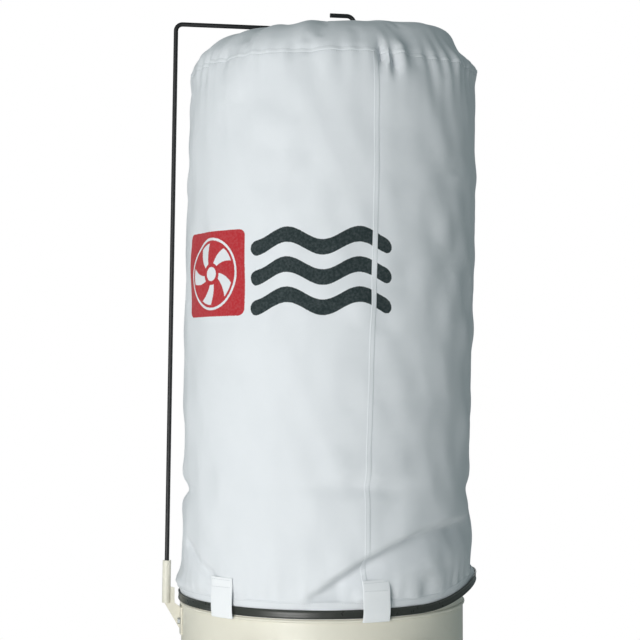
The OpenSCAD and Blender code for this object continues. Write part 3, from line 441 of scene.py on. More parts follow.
class Parts:
    """Verts and faces of one piece, gathered from several swept or turned bodies."""

    def __init__(self):
        self.verts, self.faces = [], []

    def grid(self, rings, caps=True, closed=False):
        """Skin a list of equal rings of points; a closed sweep joins its last ring to its first."""
        rings = np.asarray(rings, float)
        rows, columns = rings.shape[:2]
        first = len(self.verts)
        self.verts += rings.reshape(-1, 3).tolist()
        quads = ring_faces(rows + (1 if closed else 0), columns, first)
        total = rows * columns
        self.faces += [[(v - first) % total + first for v in q] for q in quads]
        if caps and not closed:
            self.faces.append([first + j for j in reversed(range(columns))])
            self.faces.append([first + total - columns + j for j in range(columns)])

    def sweep(self, path, side, normal, section, closed=False):
        """Carry a section of (across, out) points along a path with its own side and outward directions."""
        section = np.asarray(section, float)
        path, side, normal = (np.asarray(v, float)[:, None, :] for v in (path, side, normal))
        self.grid(path + side * section[:, 0, None] + normal * section[:, 1, None], closed=closed)

    def box(self, centre, x, y, z, size, bevel):
        """A block with bevelled edges, given its axes."""
        a, b, h = (v / 2 for v in size)
        ring = [(a - bevel, -b), (a, -b + bevel), (a, b - bevel), (a - bevel, b),
                (-a + bevel, b), (-a, b - bevel), (-a, -b + bevel), (-a + bevel, -b)]
        levels = [(-h, bevel), (-h + bevel, 0), (h - bevel, 0), (h, bevel)]
        rings = []
        for level, inset in levels:
            keep_x, keep_y = 1 - inset / a, 1 - inset / b
            corners = np.array([keep_x * px * x + keep_y * py * y for px, py in ring])
            rings.append(np.asarray(centre) + corners + level * z)
        self.grid(rings)

    def turned(self, centre, axis, outline, sides=24):
        """A body turned about an axis from (radius, height) points."""
        axis = unit(axis)
        u = unit(np.cross(axis, (0.3, 0.9, 0.1) if abs(axis[1]) < 0.9 else (1, 0, 0)))
        v = np.cross(axis, u)
        turn = np.linspace(0, 2 * np.pi, sides, endpoint=False)
        spoke = np.cos(turn)[:, None] * u + np.sin(turn)[:, None] * v
        self.grid([np.asarray(centre) + r * spoke + h * axis for r, h in outline])


def rounded_section(width, thick, bulge):
    """A strap's cross-section: round edges, and a face that crowns by bulge."""
    w, t = width / 2, thick / 2
    across = np.linspace(-w + t, w - t, 9)
    face = [(x, t + bulge * (1 - (x / w) ** 2)) for x in across]
    back = [(x, -t) for x in across[::-1]]
    turn = np.radians([60, 20, -20, -60])
    right = [(w - t + t * np.cos(a), t * np.sin(a)) for a in turn]
    left = [(-w + t - t * np.cos(a), t * np.sin(a)) for a in turn[::-1]]
    return (face + right + back + left)[::-1]


def curve_through(points, steps=6):
    """A smooth curve through the points."""
    points = np.asarray(points, float)
    padded = np.concatenate([points[:1], points, points[-1:]])
    fine = []
    for p0, p1, p2, p3 in zip(padded, padded[1:], padded[2:], padded[3:]):
        for t in np.linspace(0, 1, steps, endpoint=False):
            fine.append(0.5 * (2 * p1 + (p2 - p0) * t + (2 * p0 - 5 * p1 + 4 * p2 - p3) * t ** 2
                               + (3 * p1 - p0 - 3 * p2 + p3) * t ** 3))
    return np.array(fine + [points[-1]])


# ---------- bag surfaces ----------

COLUMNS, FINE_COLUMNS = 132, 288
ROW_STEP, FINE_STEP = 0.012, 0.0042
CUFF_R = DRUM_R + 1.9 * MM
CUFF_STAND = 19 * MM
# Height above the bead in metres, and how far the bag's left side stands out there in millimetres
LEFT_SWAY = ((0.02, 0), (0.035, 0), (0.07, -9), (0.15, -11), (0.27, -12), (0.37, -4), (0.5, -2), (0.6, 2),
             (0.8, 0), (0.91, -3), (0.945, 2), (0.97, 6), (0.99, 4), (1.02, 0))
CROWN_H, CROWN_SIDE, CROWN_TOP = 0.175, 5.7, 3.06
SEAM_R = 0.2505
LOWER_SEAM_R = 0.236
END_R = 0.016
SIM_FRAMES = 16
CLOTH_T = 0.0018
TURNED_IN_ROWS = 6
STITCH_SPACING, STITCH_LENGTH, STITCH_T = 0.0042, 0.0030, 0.0008
# Azimuth and height above the bead along the main diagonal fold
MAIN_FOLD = ((-100, 0.032), (-84, 0.079), (-74, 0.106), (-64, 0.127), (-52, 0.146),
             (-40, 0.155), (-20, 0.158))
# Single pleats at the top seam: azimuth, length past the seam, height, and spread round and along the bag
PLEATS = ((-71.3, -0.004, -0.0150, 1.5, 0.024), (-66.6, -0.020, -0.0115, 1.5, 0.020),
          (-69.2, -0.018, 0.0040, 1.3, 0.026), (-62.6, -0.004, 0.0060, 2.4, 0.032),
          (-96.0, -0.030, -0.0020, 1.6, 0.020), (-128.0, -0.006, -0.0030, 1.6, 0.022),
          (-140.0, -0.006, -0.0035, 2.0, 0.024), (-150.0, -0.004, -0.0026, 1.6, 0.020))
# Folds of the lower bag: depth below the bead, size, azimuth and spread
LOWER_FOLDS = ((0.13, 0.006, -60, 60), (0.24, 0.008, 170, 70), (0.33, 0.007, -110, 50),
               (0.41, 0.008, 20, 60), (0.44, 0.007, -160, 45))


def resampled(outline, step):
    """Points evenly spaced along a polyline of (radius, height, follow)."""
    outline = np.array(outline, float)
    length = np.concatenate([[0], np.cumsum(np.hypot(*np.diff(outline[:, :2], axis=0).T))])
    at = np.linspace(0, length[-1], int(round(length[-1] / step)) + 1)
    return np.stack([np.interp(at, length, outline[:, k]) for k in range(3)], 1), at


def upper_outline():
    """From the cuff's free edge up the side and over the crown to the middle of the end panel."""
    points = [(CUFF_R, UPPER_BEAD + 0.0040, 1.0), (CUFF_R, UPPER_BEAD + 0.019, 1.0)]
    for h in np.linspace(0.022, 0.82, 60):
        out = smooth((h - 0.018) / 0.05)
        belly = 0.0012 * smooth((h - 0.05) / 0.1) * (1 - smooth((h - 0.3) / 0.3))
        follow = 1 - 0.55 * smooth((h - 0.02) / 0.025) - 0.45 * smooth((h - 0.04) / 0.16)
        points.append((CUFF_R + (BAG_R - CUFF_R) * out + belly, UPPER_BEAD + h, follow))
    for t in np.radians(np.linspace(0, 89.9, 70)):
        points.append((BAG_R * math.cos(t) ** (2 / CROWN_SIDE),
                       BAG_TOP - CROWN_H + CROWN_H * math.sin(t) ** (2 / CROWN_TOP), 0.0))
    return [p for p in points if p[0] > END_R] + [(END_R, BAG_TOP, 0.0)]


def lower_outline():
    """From the cuff's free edge down the side and under to the middle of the bottom panel."""
    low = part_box("lower_bag")[0].z + 0.002
    points = [(CUFF_R, LOWER_BEAD - 0.004, 0), (CUFF_R, LOWER_BEAD - 0.019, 0)]
    side = np.linspace(0.022, LOWER_BEAD - low - 0.10, 40)
    for h in side:
        points.append((CUFF_R + (BAG_R - 0.0015 - CUFF_R) * smooth((h - 0.018) / 0.06), LOWER_BEAD - h, 0))
    for t in np.radians(np.linspace(0, 90, 30)):
        points.append((BAG_R - 0.0015 - 0.090 + 0.090 * math.cos(t), low + 0.10 - 0.10 * math.sin(t), 0))
    return points + [(END_R, low, 0)]


def placed(rz, azimuths, leaning):
    """The outline's points set round the drum's axis, following the band's loose stretch."""
    a = np.radians(azimuths)[None, :]
    k = rz[:, 2:3] * (loose(azimuths)[None, :] if leaning else 0)
    r = rz[:, 0:1] + CUFF_STAND * k
    z = rz[:, 1:2] + BAND_LIFT * k
    lean = lean_at(rz[:, 1:2]) if leaning else 0
    return np.stack(np.broadcast_arrays(AXIS.x + lean + r * np.cos(a), r * np.sin(a), z), -1)


def ripples(azimuths, heights, count, turns, per_metre, seed):
    """Seeded waves over a bag, of unit spread; azimuths and heights are the axes of its grid."""
    draw = np.random.default_rng(seed)
    total = np.zeros((len(heights), len(azimuths)))
    for _ in range(count):
        n, k = draw.integers(*turns), draw.uniform(-per_metre, per_metre)
        phase, size = draw.uniform(0, 2 * np.pi), draw.uniform(0.3, 1)
        total += size * np.cos(n * np.radians(azimuths)[None, :] + 2 * np.pi * k * heights[:, None] + phase)
    return total / total.std()


def outward(points):
    """Unit normals of a grid of points, away from the bag's inside for rows that run upwards."""
    along = np.gradient(points, axis=0)
    round_it = np.roll(points, -1, axis=1) - np.roll(points, 1, axis=1)
    return unit(np.cross(round_it, along))


def cut_pattern(points, arc, seam, slack, end_r):
    """The cloth as cut: a straight tube up to the seam row, and a flat disc beyond it."""
    centre = points.mean(axis=1, keepdims=True)
    spoke = unit((points - centre) * (1, 1, 0))
    rows = len(points)
    step = arc[1] - arc[0]
    up = np.sign(points[-1, 0, 2] - points[0, 0, 2])
    radius = np.linalg.norm((points - centre)[:, 0, :2], axis=-1)
    radius[3:seam + 1] = BAG_R + 0.0005
    beyond = np.arange(rows - seam - 1)
    radius[seam + 1:] = np.maximum(end_r - beyond * step, END_R)
    height = arc * slack
    height[seam + 1:] = height[seam] + step / 2
    flat = spoke * radius[:, None, None] + (AXIS.x, 0, points[0, 0, 2])
    flat[:, :, 2] += up * height[:, None]
    return flat


def settle(start, pattern, held, pressure, gravity, bending):
    """Cloth simulation from start, with the pattern's lengths, and the held rows and points pinned."""
    rows, columns = start.shape[:2]
    data = bpy.data.meshes.new("cloth")
    faces = ring_faces(rows, columns) + [[(rows - 1) * columns + j for j in range(columns)]]
    if start[-1, 0, 2] < start[0, 0, 2]:
        faces = [f[::-1] for f in faces]
    data.from_pydata(start.reshape(-1, 3).tolist(), [], faces)
    obj = bpy.data.objects.new("cloth", data)
    SCENE.collection.objects.link(obj)
    obj.shape_key_add(name="Basis")
    key = obj.shape_key_add(name="pattern")
    key.data.foreach_set("co", pattern.astype(np.float32).ravel())
    group = obj.vertex_groups.new(name="held")
    group.add(np.flatnonzero(held.ravel()).tolist(), 1.0, "REPLACE")
    cloth = obj.modifiers.new("cloth", "CLOTH")
    rules = cloth.settings
    rules.quality = 5
    rules.mass = 0.01
    rules.tension_stiffness, rules.compression_stiffness = 40, 20
    rules.shear_stiffness, rules.bending_stiffness = 15, bending
    rules.air_damping = 3
    rules.vertex_group_mass = "held"
    rules.rest_shape_key = key
    rules.use_pressure = True
    rules.uniform_pressure_force = pressure
    rules.effector_weights.gravity = gravity
    cloth.collision_settings.use_collision = False
    cloth.point_cache.frame_end = SIM_FRAMES
    for frame_number in range(1, SIM_FRAMES + 1):
        SCENE.frame_set(frame_number)
    result = np.zeros(rows * columns * 3, np.float32)
    done = obj.evaluated_get(bpy.context.evaluated_depsgraph_get())
    done.data.vertices.foreach_get("co", result)
    SCENE.frame_set(1)
    bpy.data.objects.remove(obj, do_unlink=True)
    bpy.data.meshes.remove(data)
    return result.reshape(start.shape).astype(float)


def capped(moved, start, most):
    """The move from start, eased so that no point goes further than most."""
    move = moved - start
    size = np.linalg.norm(move, axis=-1, keepdims=True)
    return start + move * (most * np.tanh(size / most) / np.maximum(size, 1e-9))


def between(grid, at):
    """The grid's rows read at fractional positions, through a smooth curve."""
    padded = np.concatenate([2 * grid[:1] - grid[1:2], grid, 2 * grid[-1:] - grid[-2:-1]])
    i = np.clip(np.floor(at).astype(int), 0, len(grid) - 2)
    t = (at - i)[:, None, None]
    p0, p1, p2, p3 = (padded[i + k] for k in range(4))
    return 0.5 * (2 * p1 + (p2 - p0) * t + (2 * p0 - 5 * p1 + 4 * p2 - p3) * t ** 2
                  + (3 * p1 - p0 - 3 * p2 + p3) * t ** 3)


def refined(grid):
    """The settled grid with rows and columns close enough for creases."""
    rows = int(round((len(grid) - 1) * ROW_STEP / FINE_STEP)) + 1
    taller = between(grid, np.linspace(0, len(grid) - 1, rows))
    wrapped = np.concatenate([taller[:, -2:], taller, taller[:, :3]], axis=1).transpose(1, 0, 2)
    at = 2 + np.arange(FINE_COLUMNS) * grid.shape[1] / FINE_COLUMNS
    return between(wrapped, at).transpose(1, 0, 2)


class Skin:
    """A bag's finished surface as a grid that rows of stitches and tapes can follow."""

    def __init__(self, points, arc, height, up):
        self.points, self.arc, self.height = points, arc, height
        self.normals = outward(points) * up
        self.columns = points.shape[1]

    def at(self, arc, azimuth, off=0.0):
        """Point and normal at a length along the outline and an azimuth, raised by off."""
        row = np.interp(arc, self.arc, np.arange(len(self.arc)))
        column = (np.asarray(azimuth, float) + 180) / 360 * self.columns
        row, column = np.broadcast_arrays(row, column)
        i = np.clip(np.floor(row).astype(int), 0, len(self.arc) - 2)
        j = np.floor(column).astype(int)
        fi, fj = (row - i)[..., None], (column - j)[..., None]
        i2, j1, j2 = i + 1, j % self.columns, (j + 1) % self.columns
        mixed = []
        for g in (self.points, self.normals):
            here = g[i, j1] * (1 - fj) + g[i, j2] * fj
            ahead = g[i2, j1] * (1 - fj) + g[i2, j2] * fj
            mixed.append(here * (1 - fi) + ahead * fi)
        normal = unit(mixed[1])
        return mixed[0] + normal * off, normal

    def arc_at(self, height):
        """Length along the outline at a distance past the bead, on the bag's side."""
        rising = np.maximum.accumulate(self.height)
        return np.interp(height, rising, self.arc)


def bump_at(x, centre, width):
    return np.exp(-(((x - centre) / width) ** 2))


def eased(x, stops):
    """A smooth run through (x, value) stops, level at each of them."""
    stops = np.array(stops, float)
    i = np.clip(np.searchsorted(stops[:, 0], x) - 1, 0, len(stops) - 2)
    share = smooth((x - stops[i, 0]) / (stops[i + 1, 0] - stops[i, 0]))
    return stops[i, 1] + (stops[i + 1, 1] - stops[i, 1]) * share


def turn_from(azimuths, centre):
    """Signed degrees from an azimuth."""
    return (azimuths - centre + 180) % 360 - 180


def near(azimuths, centre, width):
    """1 at an azimuth, fading over width degrees to each side, one per column."""
    return bump_at(turn_from(azimuths, centre), 0, width)[None, :]


def crease(across, rise, drop):
    """A fold's section in metres: cloth swells above its line, and a broad face tucks in below it."""
    up = np.where(across > 0.004, bump_at(across, 0.004, 0.040), bump_at(across, 0.004, 0.012))
    tuck = np.where(across > -0.019, bump_at(across, -0.019, 0.013), bump_at(across, -0.019, 0.026))
    lobe = bump_at(across, -0.062, 0.022)
    return rise * up - drop * tuck + 0.25 * rise * lobe


def line_fold(azimuths, heights, start, end, width):
    """1 on the line between two (azimuth, height) points of the side, fading off across and past it."""
    u = np.radians(turn_from(azimuths, start[0]))[None, :] * BAG_R
    v = (heights - start[1])[:, None]
    du, dv = math.radians(end[0] - start[0]) * BAG_R, end[1] - start[1]
    length = math.hypot(du, dv)
    along = (u * du + v * dv) / length
    across = (u * dv - v * du) / length
    ends = smooth((along + width) / (2 * width)) * (1 - smooth((along - length + width) / (2 * width)))
    return bump_at(across, 0, width) * ends


def upper_folds(azimuths, heights, beyond):
    """How far each point of the upper bag stands out from its settled shape, in metres.

    heights are above the bead and beyond is the length past the top seam, both one per row.
    """
    h, q = heights[:, None], beyond[:, None]
    free = smooth((h - 0.022) / 0.02)
    out = 0.0007 * ripples(azimuths, heights, 24, (3, 30), 9, 3) * free

    main_line = np.interp(azimuths, *zip(*MAIN_FOLD))
    main_size = smooth((azimuths + 102) / 22) * (1 - smooth((azimuths + 28) / 26))
    out += crease(h - main_line[None, :], 0.0090, 0.0175) * main_size[None, :]

    sway = eased(heights, LEFT_SWAY) * MM
    out += sway[:, None] * near(azimuths, -175, 34)

    pinch_line = 0.200 + 0.022 * near(azimuths, -90, 50)
    pinch = 0.0006 + 0.0062 * near(azimuths, -76, 17)
    pinch += 0.0110 * near(azimuths, -177, 12) + 0.0045 * near(azimuths, 0, 14)
    out += (-bump_at(h, pinch_line, 0.014) + 0.4 * bump_at(h, pinch_line + 0.030, 0.024)) * pinch
    out -= 0.0030 * bump_at(h, 0.735, 0.02) * near(azimuths, -4, 15)

    out += 0.0100 * bump_at(h, 0.032, 0.014) * near(azimuths, -173, 16)
    out -= 0.0060 * line_fold(azimuths, heights, (-158, 0.112), (-136, 0.062), 0.008)
    out += 0.0032 * line_fold(azimuths, heights, (-164, 0.085), (-142, 0.040), 0.016)

    gathers = ripples(azimuths, heights, 30, (22, 74), 4, 8)
    gathers += 1.2 * ripples(azimuths, heights, 10, (9, 20), 2, 9)
    out += 0.0011 * gathers * np.exp(-np.maximum(h - 0.03, 0) / 0.028) * smooth((h - 0.022) / 0.012)

    pleats = ripples(azimuths, heights, 26, (16, 60), 3, 21)
    pleats += 0.8 * ripples(azimuths, heights, 10, (6, 14), 2, 22)
    seam_zone = np.where(q < 0, np.exp(q / 0.034), np.exp(-q / 0.026))
    out += 0.0017 * pleats * seam_zone
    for azimuth, centre, height, width, reach in PLEATS:
        out += height * near(azimuths, azimuth, width) * bump_at(q, centre, reach)
    out -= 0.0006 * bump_at(q, 0, 0.006)

    corner = near(azimuths, -8, 20)
    out += corner * (0.013 * bump_at(q, 0.006, 0.020) + 0.006 * bump_at(q, 0.068, 0.020))
    brow = near(azimuths, -22, 34)
    out += brow * (0.013 * bump_at(q, 0.075, 0.028) + 0.010 * bump_at(q, 0.13, 0.05))
    dip = near(azimuths, -120, 34)
    out -= dip * 0.006 * bump_at(q, 0.15, 0.05)
    return out * free


def make_upper_bag():
    rz, arc = resampled(upper_outline(), ROW_STEP)
    azimuths = -180 + 360 * np.arange(COLUMNS) / COLUMNS
    target = placed(rz, azimuths, True)
    heights = rz[:, 1] - UPPER_BEAD
    side = np.interp(SEAM_R, rz[::-1, 0], arc[::-1])
    seam = int(round(side / (arc[1] - arc[0])))
    uneven = 0.0012 * ripples(azimuths, heights, 30, (2, 24), 9, 5)
    uneven *= smooth((heights - 0.03) / 0.04)[:, None]
    start = target + outward(target) * uneven[:, :, None]
    pattern = cut_pattern(start, arc, seam, 1.007, 0.266)
    held = np.zeros(start.shape[:2], bool)
    held[heights < 0.0215] = True
    held[-2:] = True
    settled = capped(settle(start, pattern, held, 12, 0.1, 3), target, 0.007)
    fine = refined(settled)
    columns = fine.shape[1]
    fine_azimuths = -180 + 360 * np.arange(columns) / columns
    fine_arc = np.linspace(0, arc[-1], len(fine))
    fine_heights = np.interp(fine_arc, arc, heights)
    folds = upper_folds(fine_azimuths, fine_heights, fine_arc - arc[seam])
    folds *= smooth((arc[-1] - fine_arc) / 0.1)[:, None]
    fine = fine + outward(fine) * folds[:, :, None]
    return Skin(fine, fine_arc, fine_heights, 1), arc[seam]


def shell(skin, name, material, node):
    """The bag's cloth, with its thickness turned in at the cuff's free edge."""
    outer = skin.points
    inner = outer[:TURNED_IN_ROWS] - skin.normals[:TURNED_IN_ROWS] * CLOTH_T
    rings = np.concatenate([inner[::-1], outer])
    rows, columns = rings.shape[:2]
    verts = rings.reshape(-1, 3).tolist() + [rings[-1].mean(axis=0).tolist()]
    faces = ring_faces(rows, columns)
    last = (rows - 1) * columns
    faces += [[last + j, last + (j + 1) % columns, len(verts) - 1] for j in range(columns)]
    if rings[-1, 0, 2] < rings[0, 0, 2]:
        faces = [f[::-1] for f in faces]
    return add_piece(name, verts, faces, material, (node,), sharp=75)


def tape(parts, skin, arcs, azimuths, width, thick, closed=False):
    """A flat tape along a line on the bag, such as a felled seam or a hem."""
    path, normal = skin.at(arcs, azimuths, thick * 0.2)
    if closed:
        tangent = np.roll(path, -1, axis=0) - np.roll(path, 1, axis=0)
    else:
        tangent = np.gradient(path, axis=0)
    side = unit(np.cross(tangent, normal))
    parts.sweep(path, side, normal, rounded_section(width, thick, thick * 0.25), closed=closed)


def stitches(parts, skin, arcs, azimuths, off=0.0006):
    """A row of separate stitches along a line on the bag."""
    path, _ = skin.at(arcs, azimuths)
    length = np.concatenate([[0], np.cumsum(np.linalg.norm(np.diff(path, axis=0), axis=1))])
    at = np.arange(STITCH_SPACING / 2, length[-1], STITCH_SPACING)
    turn = np.radians(np.arange(0, 360, 72))
    stations = [(-0.5, 0.15), (-0.32, 0.85), (0.0, 1.0), (0.32, 0.85), (0.5, 0.15)]
    for middle in at:
        ends = [np.interp(middle + s * STITCH_LENGTH, length, arcs) for s in (-0.5, 0.5)]
        turns = [np.interp(middle + s * STITCH_LENGTH, length, azimuths) for s in (-0.5, 0.5)]
        p, n = skin.at(np.array(ends), np.array(turns), off)
        along, normal = p[1] - p[0], unit(n[0] + n[1])
        side = unit(np.cross(along, normal))
        rings = []
        for t, share in stations:
            dip = normal * (-0.0007 * (2 * t) ** 2)
            r = STITCH_T / 2 * share
            rings.append((p[0] + p[1]) / 2 + along * t + dip
                         + r * (np.cos(turn)[:, None] * side + np.sin(turn)[:, None] * normal))
        parts.grid(rings)


def dress_upper_bag(skin, seam_arc):
    shell(skin, "upper_bag_cloth", PRINTED_FELT, "upper_bag")
    whole = np.linspace(-180, 180, 577)
    around = whole[:-1]
    hem_h = UPPER_BAND_Z + BAND_H / 2 - UPPER_BEAD
    low = skin.arc_at(hem_h)
    up = np.linspace(low, seam_arc - 0.004, 230)
    seams, threads = Parts(), Parts()
    for azimuth in (SIDE_SEAM, SIDE_SEAM + 180):
        tape(seams, skin, up, np.full_like(up, azimuth), 0.009, 0.0008)
        for off in (-0.6, 0.6):
            stitches(threads, skin, up, np.full_like(up, azimuth + off), off=0.0009)
    tape(seams, skin, np.full_like(around, seam_arc), around, 0.006, 0.0009, closed=True)
    stitches(threads, skin, np.full_like(whole, seam_arc - 0.0055), whole)
    tape(seams, skin, np.full_like(around, low + 0.006), around, 0.014, 0.0010, closed=True)
    stitches(threads, skin, np.full_like(whole, low + 0.0105), whole, off=0.0012)
    add_piece("upper_bag_seams", seams.verts, seams.faces, FELT)
    add_piece("upper_bag_stitching", threads.verts, threads.faces, THREAD, sharp=180)


def loops_at(name, node, azimuths, bead, up, skin):
    """Webbing belt loops: sewn to the bag, standing over the band and turned under below it."""
    straps, threads = Parts(), Parts()
    outer = BAND_IN + BAND_T + 0.0042
    inner = BAND_IN + BAND_T - 0.0006
    for n, azimuth in enumerate(azimuths):
        a = math.radians(azimuth)
        spoke = np.array([math.cos(a), math.sin(a), 0])
        across = np.array([-math.sin(a), math.cos(a), 0])
        axis = np.array([AXIS.x, 0, bead])
        sewn_low, sewn_high = skin.arc_at(0.052), skin.arc_at(0.066)
        top, _ = skin.at(sewn_high, azimuth, 0.0014)
        mid, _ = skin.at(sewn_low, azimuth, 0.0016)
        belly = 0.0012 + 0.0006 * ((n * 2) % 3)
        profile = [(outer + belly * 0.5, 0.040), (outer + belly, 0.028), (outer + belly, 0.014),
                   (outer, 0.003), (outer - 0.0010, -0.0012), (outer - 0.0034, -0.0022),
                   (inner + 0.0004, -0.0004), (inner, 0.0014)]
        path = [top, mid] + [axis + spoke * r + np.array([0, 0, up * h]) for r, h in profile]
        fine = curve_through(path)
        tangent = unit(np.gradient(fine, axis=0))
        normal = unit(np.cross(np.broadcast_to(across, fine.shape), tangent)) * up
        if normal[8] @ spoke < 0:
            normal = -normal
        side = unit(np.cross(normal, tangent))
        section = rounded_section(LOOP_W, CLOTH_T, -0.0006)
        bend = [(x, y - (x / LOOP_W) ** 2 * LOOP_W ** 2 / (2 * outer) * 0.98) for x, y in section]
        straps.sweep(fine, side, normal, bend)
        for h in (2, 7):
            centre, n_here = fine[h], normal[h]
            for k in np.arange(-LOOP_W / 2 + 0.004, LOOP_W / 2 - 0.003, STITCH_SPACING):
                sag = -k * k / (2 * outer) + 0.0012 - 0.0006 * (1 - (2 * k / LOOP_W) ** 2)
                spot = centre + side[h] * k + n_here * sag
                threads.turned(spot - side[h] * 0.0014, side[h],
                               [(0.0001, 0), (0.0004, 0.0004), (0.0004, 0.0024), (0.0001, 0.0028)], 6)
    add_piece(name, straps.verts, straps.faces, WEBBING, (node,))
    add_piece(name + "_stitching", threads.verts, threads.faces, THREAD, sharp=180)


def clamp_band(name, node, z, latch, leaning):
    """A steel strap with rolled edges round the cuff, with lever ears at one end and a catch at the other."""
    parts = Parts()
    azimuths = np.linspace(latch + BAND_GAP, latch + 360 - BAND_GAP, 217)
    k = loose(azimuths) if leaning else np.zeros_like(azimuths)
    a = np.radians(azimuths)
    spoke = np.stack([np.cos(a), np.sin(a), 0 * a], 1)
    r = BAND_IN + BAND_T / 2 + BAND_STAND * k
    path = spoke * r[:, None] + (AXIS.x, 0, 0)
    path[:, 2] = z + BAND_LIFT * k
    tangent = unit(np.gradient(path, axis=0))
    up = unit(np.cross(spoke, tangent))
    out = unit(np.cross(tangent, up))
    h, t = BAND_H / 2, BAND_T / 2
    rolled = [(-h + 0.0016 + 0.0013 * math.sin(v), 0.0002 + 0.0013 * math.cos(v))
              for v in np.radians([200, 240, 280, 320, 0, 40])]
    edge = [(-x, y) for x, y in rolled[::-1]]
    face = [(-h + 0.0044, t - 0.0002), (-h + 0.006, t), (h - 0.006, t), (h - 0.0044, t - 0.0002)]
    section = rolled + face + edge + [(h - 0.0026, -t), (-h + 0.0026, -t)]
    parts.sweep(path, up, out, section[::-1])

    axis, rise, root = np.array([AXIS.x, 0, z]), np.array([0, 0, 1.0]), BAND_IN + BAND_T

    def directions(angle):
        """Out from the drum and round it, at degrees from the latch."""
        b = math.radians(latch + angle)
        return np.array([math.cos(b), math.sin(b), 0]), np.array([-math.sin(b), math.cos(b), 0])

    radial, across = directions(PIVOT_ANGLE)
    for s in (0.0068, -0.0068):
        ear = axis + radial * (root + 0.0042) + rise * s
        parts.box(ear, radial, across, rise, (0.0098, 0.0078, 0.001), 0.0003)
    pin = [(0.0012, -0.0078), (0.0026, -0.0076), (0.0026, -0.0072), (0.0019, -0.0070),
           (0.0019, 0.0070), (0.0026, 0.0072), (0.0026, 0.0076), (0.0012, 0.0078)]
    parts.turned(axis + radial * PIVOT_R, rise, pin, 20)
    parts.box(axis + radial * (root + 0.0004), across, rise, radial, (0.016, 0.0140, 0.0010), 0.0003)
    radial, across = directions(-CATCH_ANGLE)
    parts.box(axis + radial * (root + 0.0040), radial, rise, across, (0.0094, 0.0100, 0.0019), 0.0004)
    parts.box(axis + radial * (root + 0.0004), across, rise, radial, (0.014, 0.0120, 0.0010), 0.0003)
    add_piece(name, parts.verts, parts.faces, BAND_ENAMEL, (node,), sharp=32)


def make_hose():
    """Wire-helix hose: a ribbed wall swept round the bend, over the adapter's spigot and the drum's duct."""
    low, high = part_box("transfer_hose")
    outer = (high.y - low.y) / 2
    x0, y0 = low.x + outer, (low.y + high.y) / 2
    z_end = high.z - outer
    bend = 0.130
    corner = (x0 + bend, z_end - bend)
    legs = (corner[1] - low.z, bend * math.pi / 2, high.x - corner[0])
    total = sum(legs)
    pitch, depth, sides = 0.0115, 0.0030, 96
    stations = np.arange(0, total + 0.0005, pitch / 10)
    rings = []
    turn = np.linspace(0, 2 * np.pi, sides, endpoint=False)
    for s in stations:
        if s < legs[0]:
            centre, ahead = (x0, low.z + s), 0.0
        elif s < legs[0] + legs[1]:
            ahead = (s - legs[0]) / bend
            centre = (corner[0] - bend * math.cos(ahead), corner[1] + bend * math.sin(ahead))
        else:
            centre, ahead = (corner[0] + s - legs[0] - legs[1], z_end), math.pi / 2
        u = np.array([math.cos(ahead), 0, -math.sin(ahead)])
        phase = 2 * np.pi * s / pitch + turn
        crest = (0.5 + 0.5 * np.cos(phase)) ** 1.7
        cuff = smooth(np.minimum(s, total - s) / 0.010)
        r = outer - 0.0002 - depth * (1 - crest) * cuff
        middle = np.array([centre[0], y0, centre[1]])
        rings.append(middle + r[:, None] * (np.cos(turn)[:, None] * u + np.sin(turn)[:, None] * (0, 1, 0)))
    lip = 0.0026
    inside = []
    for ring in (rings[0], rings[-1]):
        middle = ring.mean(axis=0)
        spoke = unit(ring - middle)
        inside.append(ring - spoke * lip)
    parts = Parts()
    parts.grid([inside[0]] + rings + [inside[1]], caps=False)
    add_piece("transfer_hose_wall", parts.verts, parts.faces, HOSE_WALL, ("transfer_hose",), sharp=60)


def make_hang_loop():
    """A webbing loop sewn to the middle of the end panel, over the hanger rod."""
    low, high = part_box("hang_loop")
    middle = np.array([(low.x + high.x) / 2, (low.y + high.y) / 2, 0])
    side = np.array([math.cos(LOOP_TURN), math.sin(LOOP_TURN), 0])
    ahead = np.array([-math.sin(LOOP_TURN), math.cos(LOOP_TURN), 0])
    floor, top = BAG_TOP + 0.0012, high.z - 0.001
    tail = [(-0.046, 0.0), (-0.030, 0.0002), (-0.016, 0.0006), (-0.0125, 0.003), (-0.011, 0.010)]
    over = [(-0.0075, top - floor - 0.0022), (0.0, top - floor), (0.0075, top - floor - 0.0022)]
    points = tail + over + [(-y, z) for y, z in tail[::-1]]
    fine = curve_through([middle + ahead * y + (0, 0, floor + z) for y, z in points])
    tangent = unit(np.gradient(fine, axis=0))
    normal = unit(np.cross(side, tangent))
    if normal[len(fine) // 2][2] < 0:
        normal = -normal
    parts = Parts()
    parts.sweep(fine, np.broadcast_to(side, fine.shape), normal, rounded_section(0.025, CLOTH_T, 0.0003))
    add_piece("hang_loop_strap", parts.verts, parts.faces, WEBBING, ("hang_loop",))


def lower_folds(azimuths, heights, beyond):
    """How far each point of the lower bag stands out from its settled shape, in metres."""
    h, q = heights[:, None], beyond[:, None]
    free = smooth((h - 0.022) / 0.02)
    out = 0.0012 * ripples(azimuths, heights, 26, (3, 26), 8, 31)
    for level, size, azimuth, spread in LOWER_FOLDS:
        line = level + 0.03 * np.sin(np.radians(2 * azimuths + 70 * level * 10))
        out -= crease(h - line[None, :], size, 0.8 * size) * near(azimuths, azimuth, spread)
    gathers = ripples(azimuths, heights, 34, (18, 70), 4, 33)
    gathers += 1.4 * ripples(azimuths, heights, 10, (8, 18), 2, 34)
    out += 0.0016 * gathers * np.exp(-np.maximum(h - 0.03, 0) / 0.045) * smooth((h - 0.022) / 0.012)
    pleats = ripples(azimuths, heights, 30, (20, 64), 3, 35)
    out += 0.0016 * pleats * np.exp(-np.abs(q) / 0.03)
    return out * free


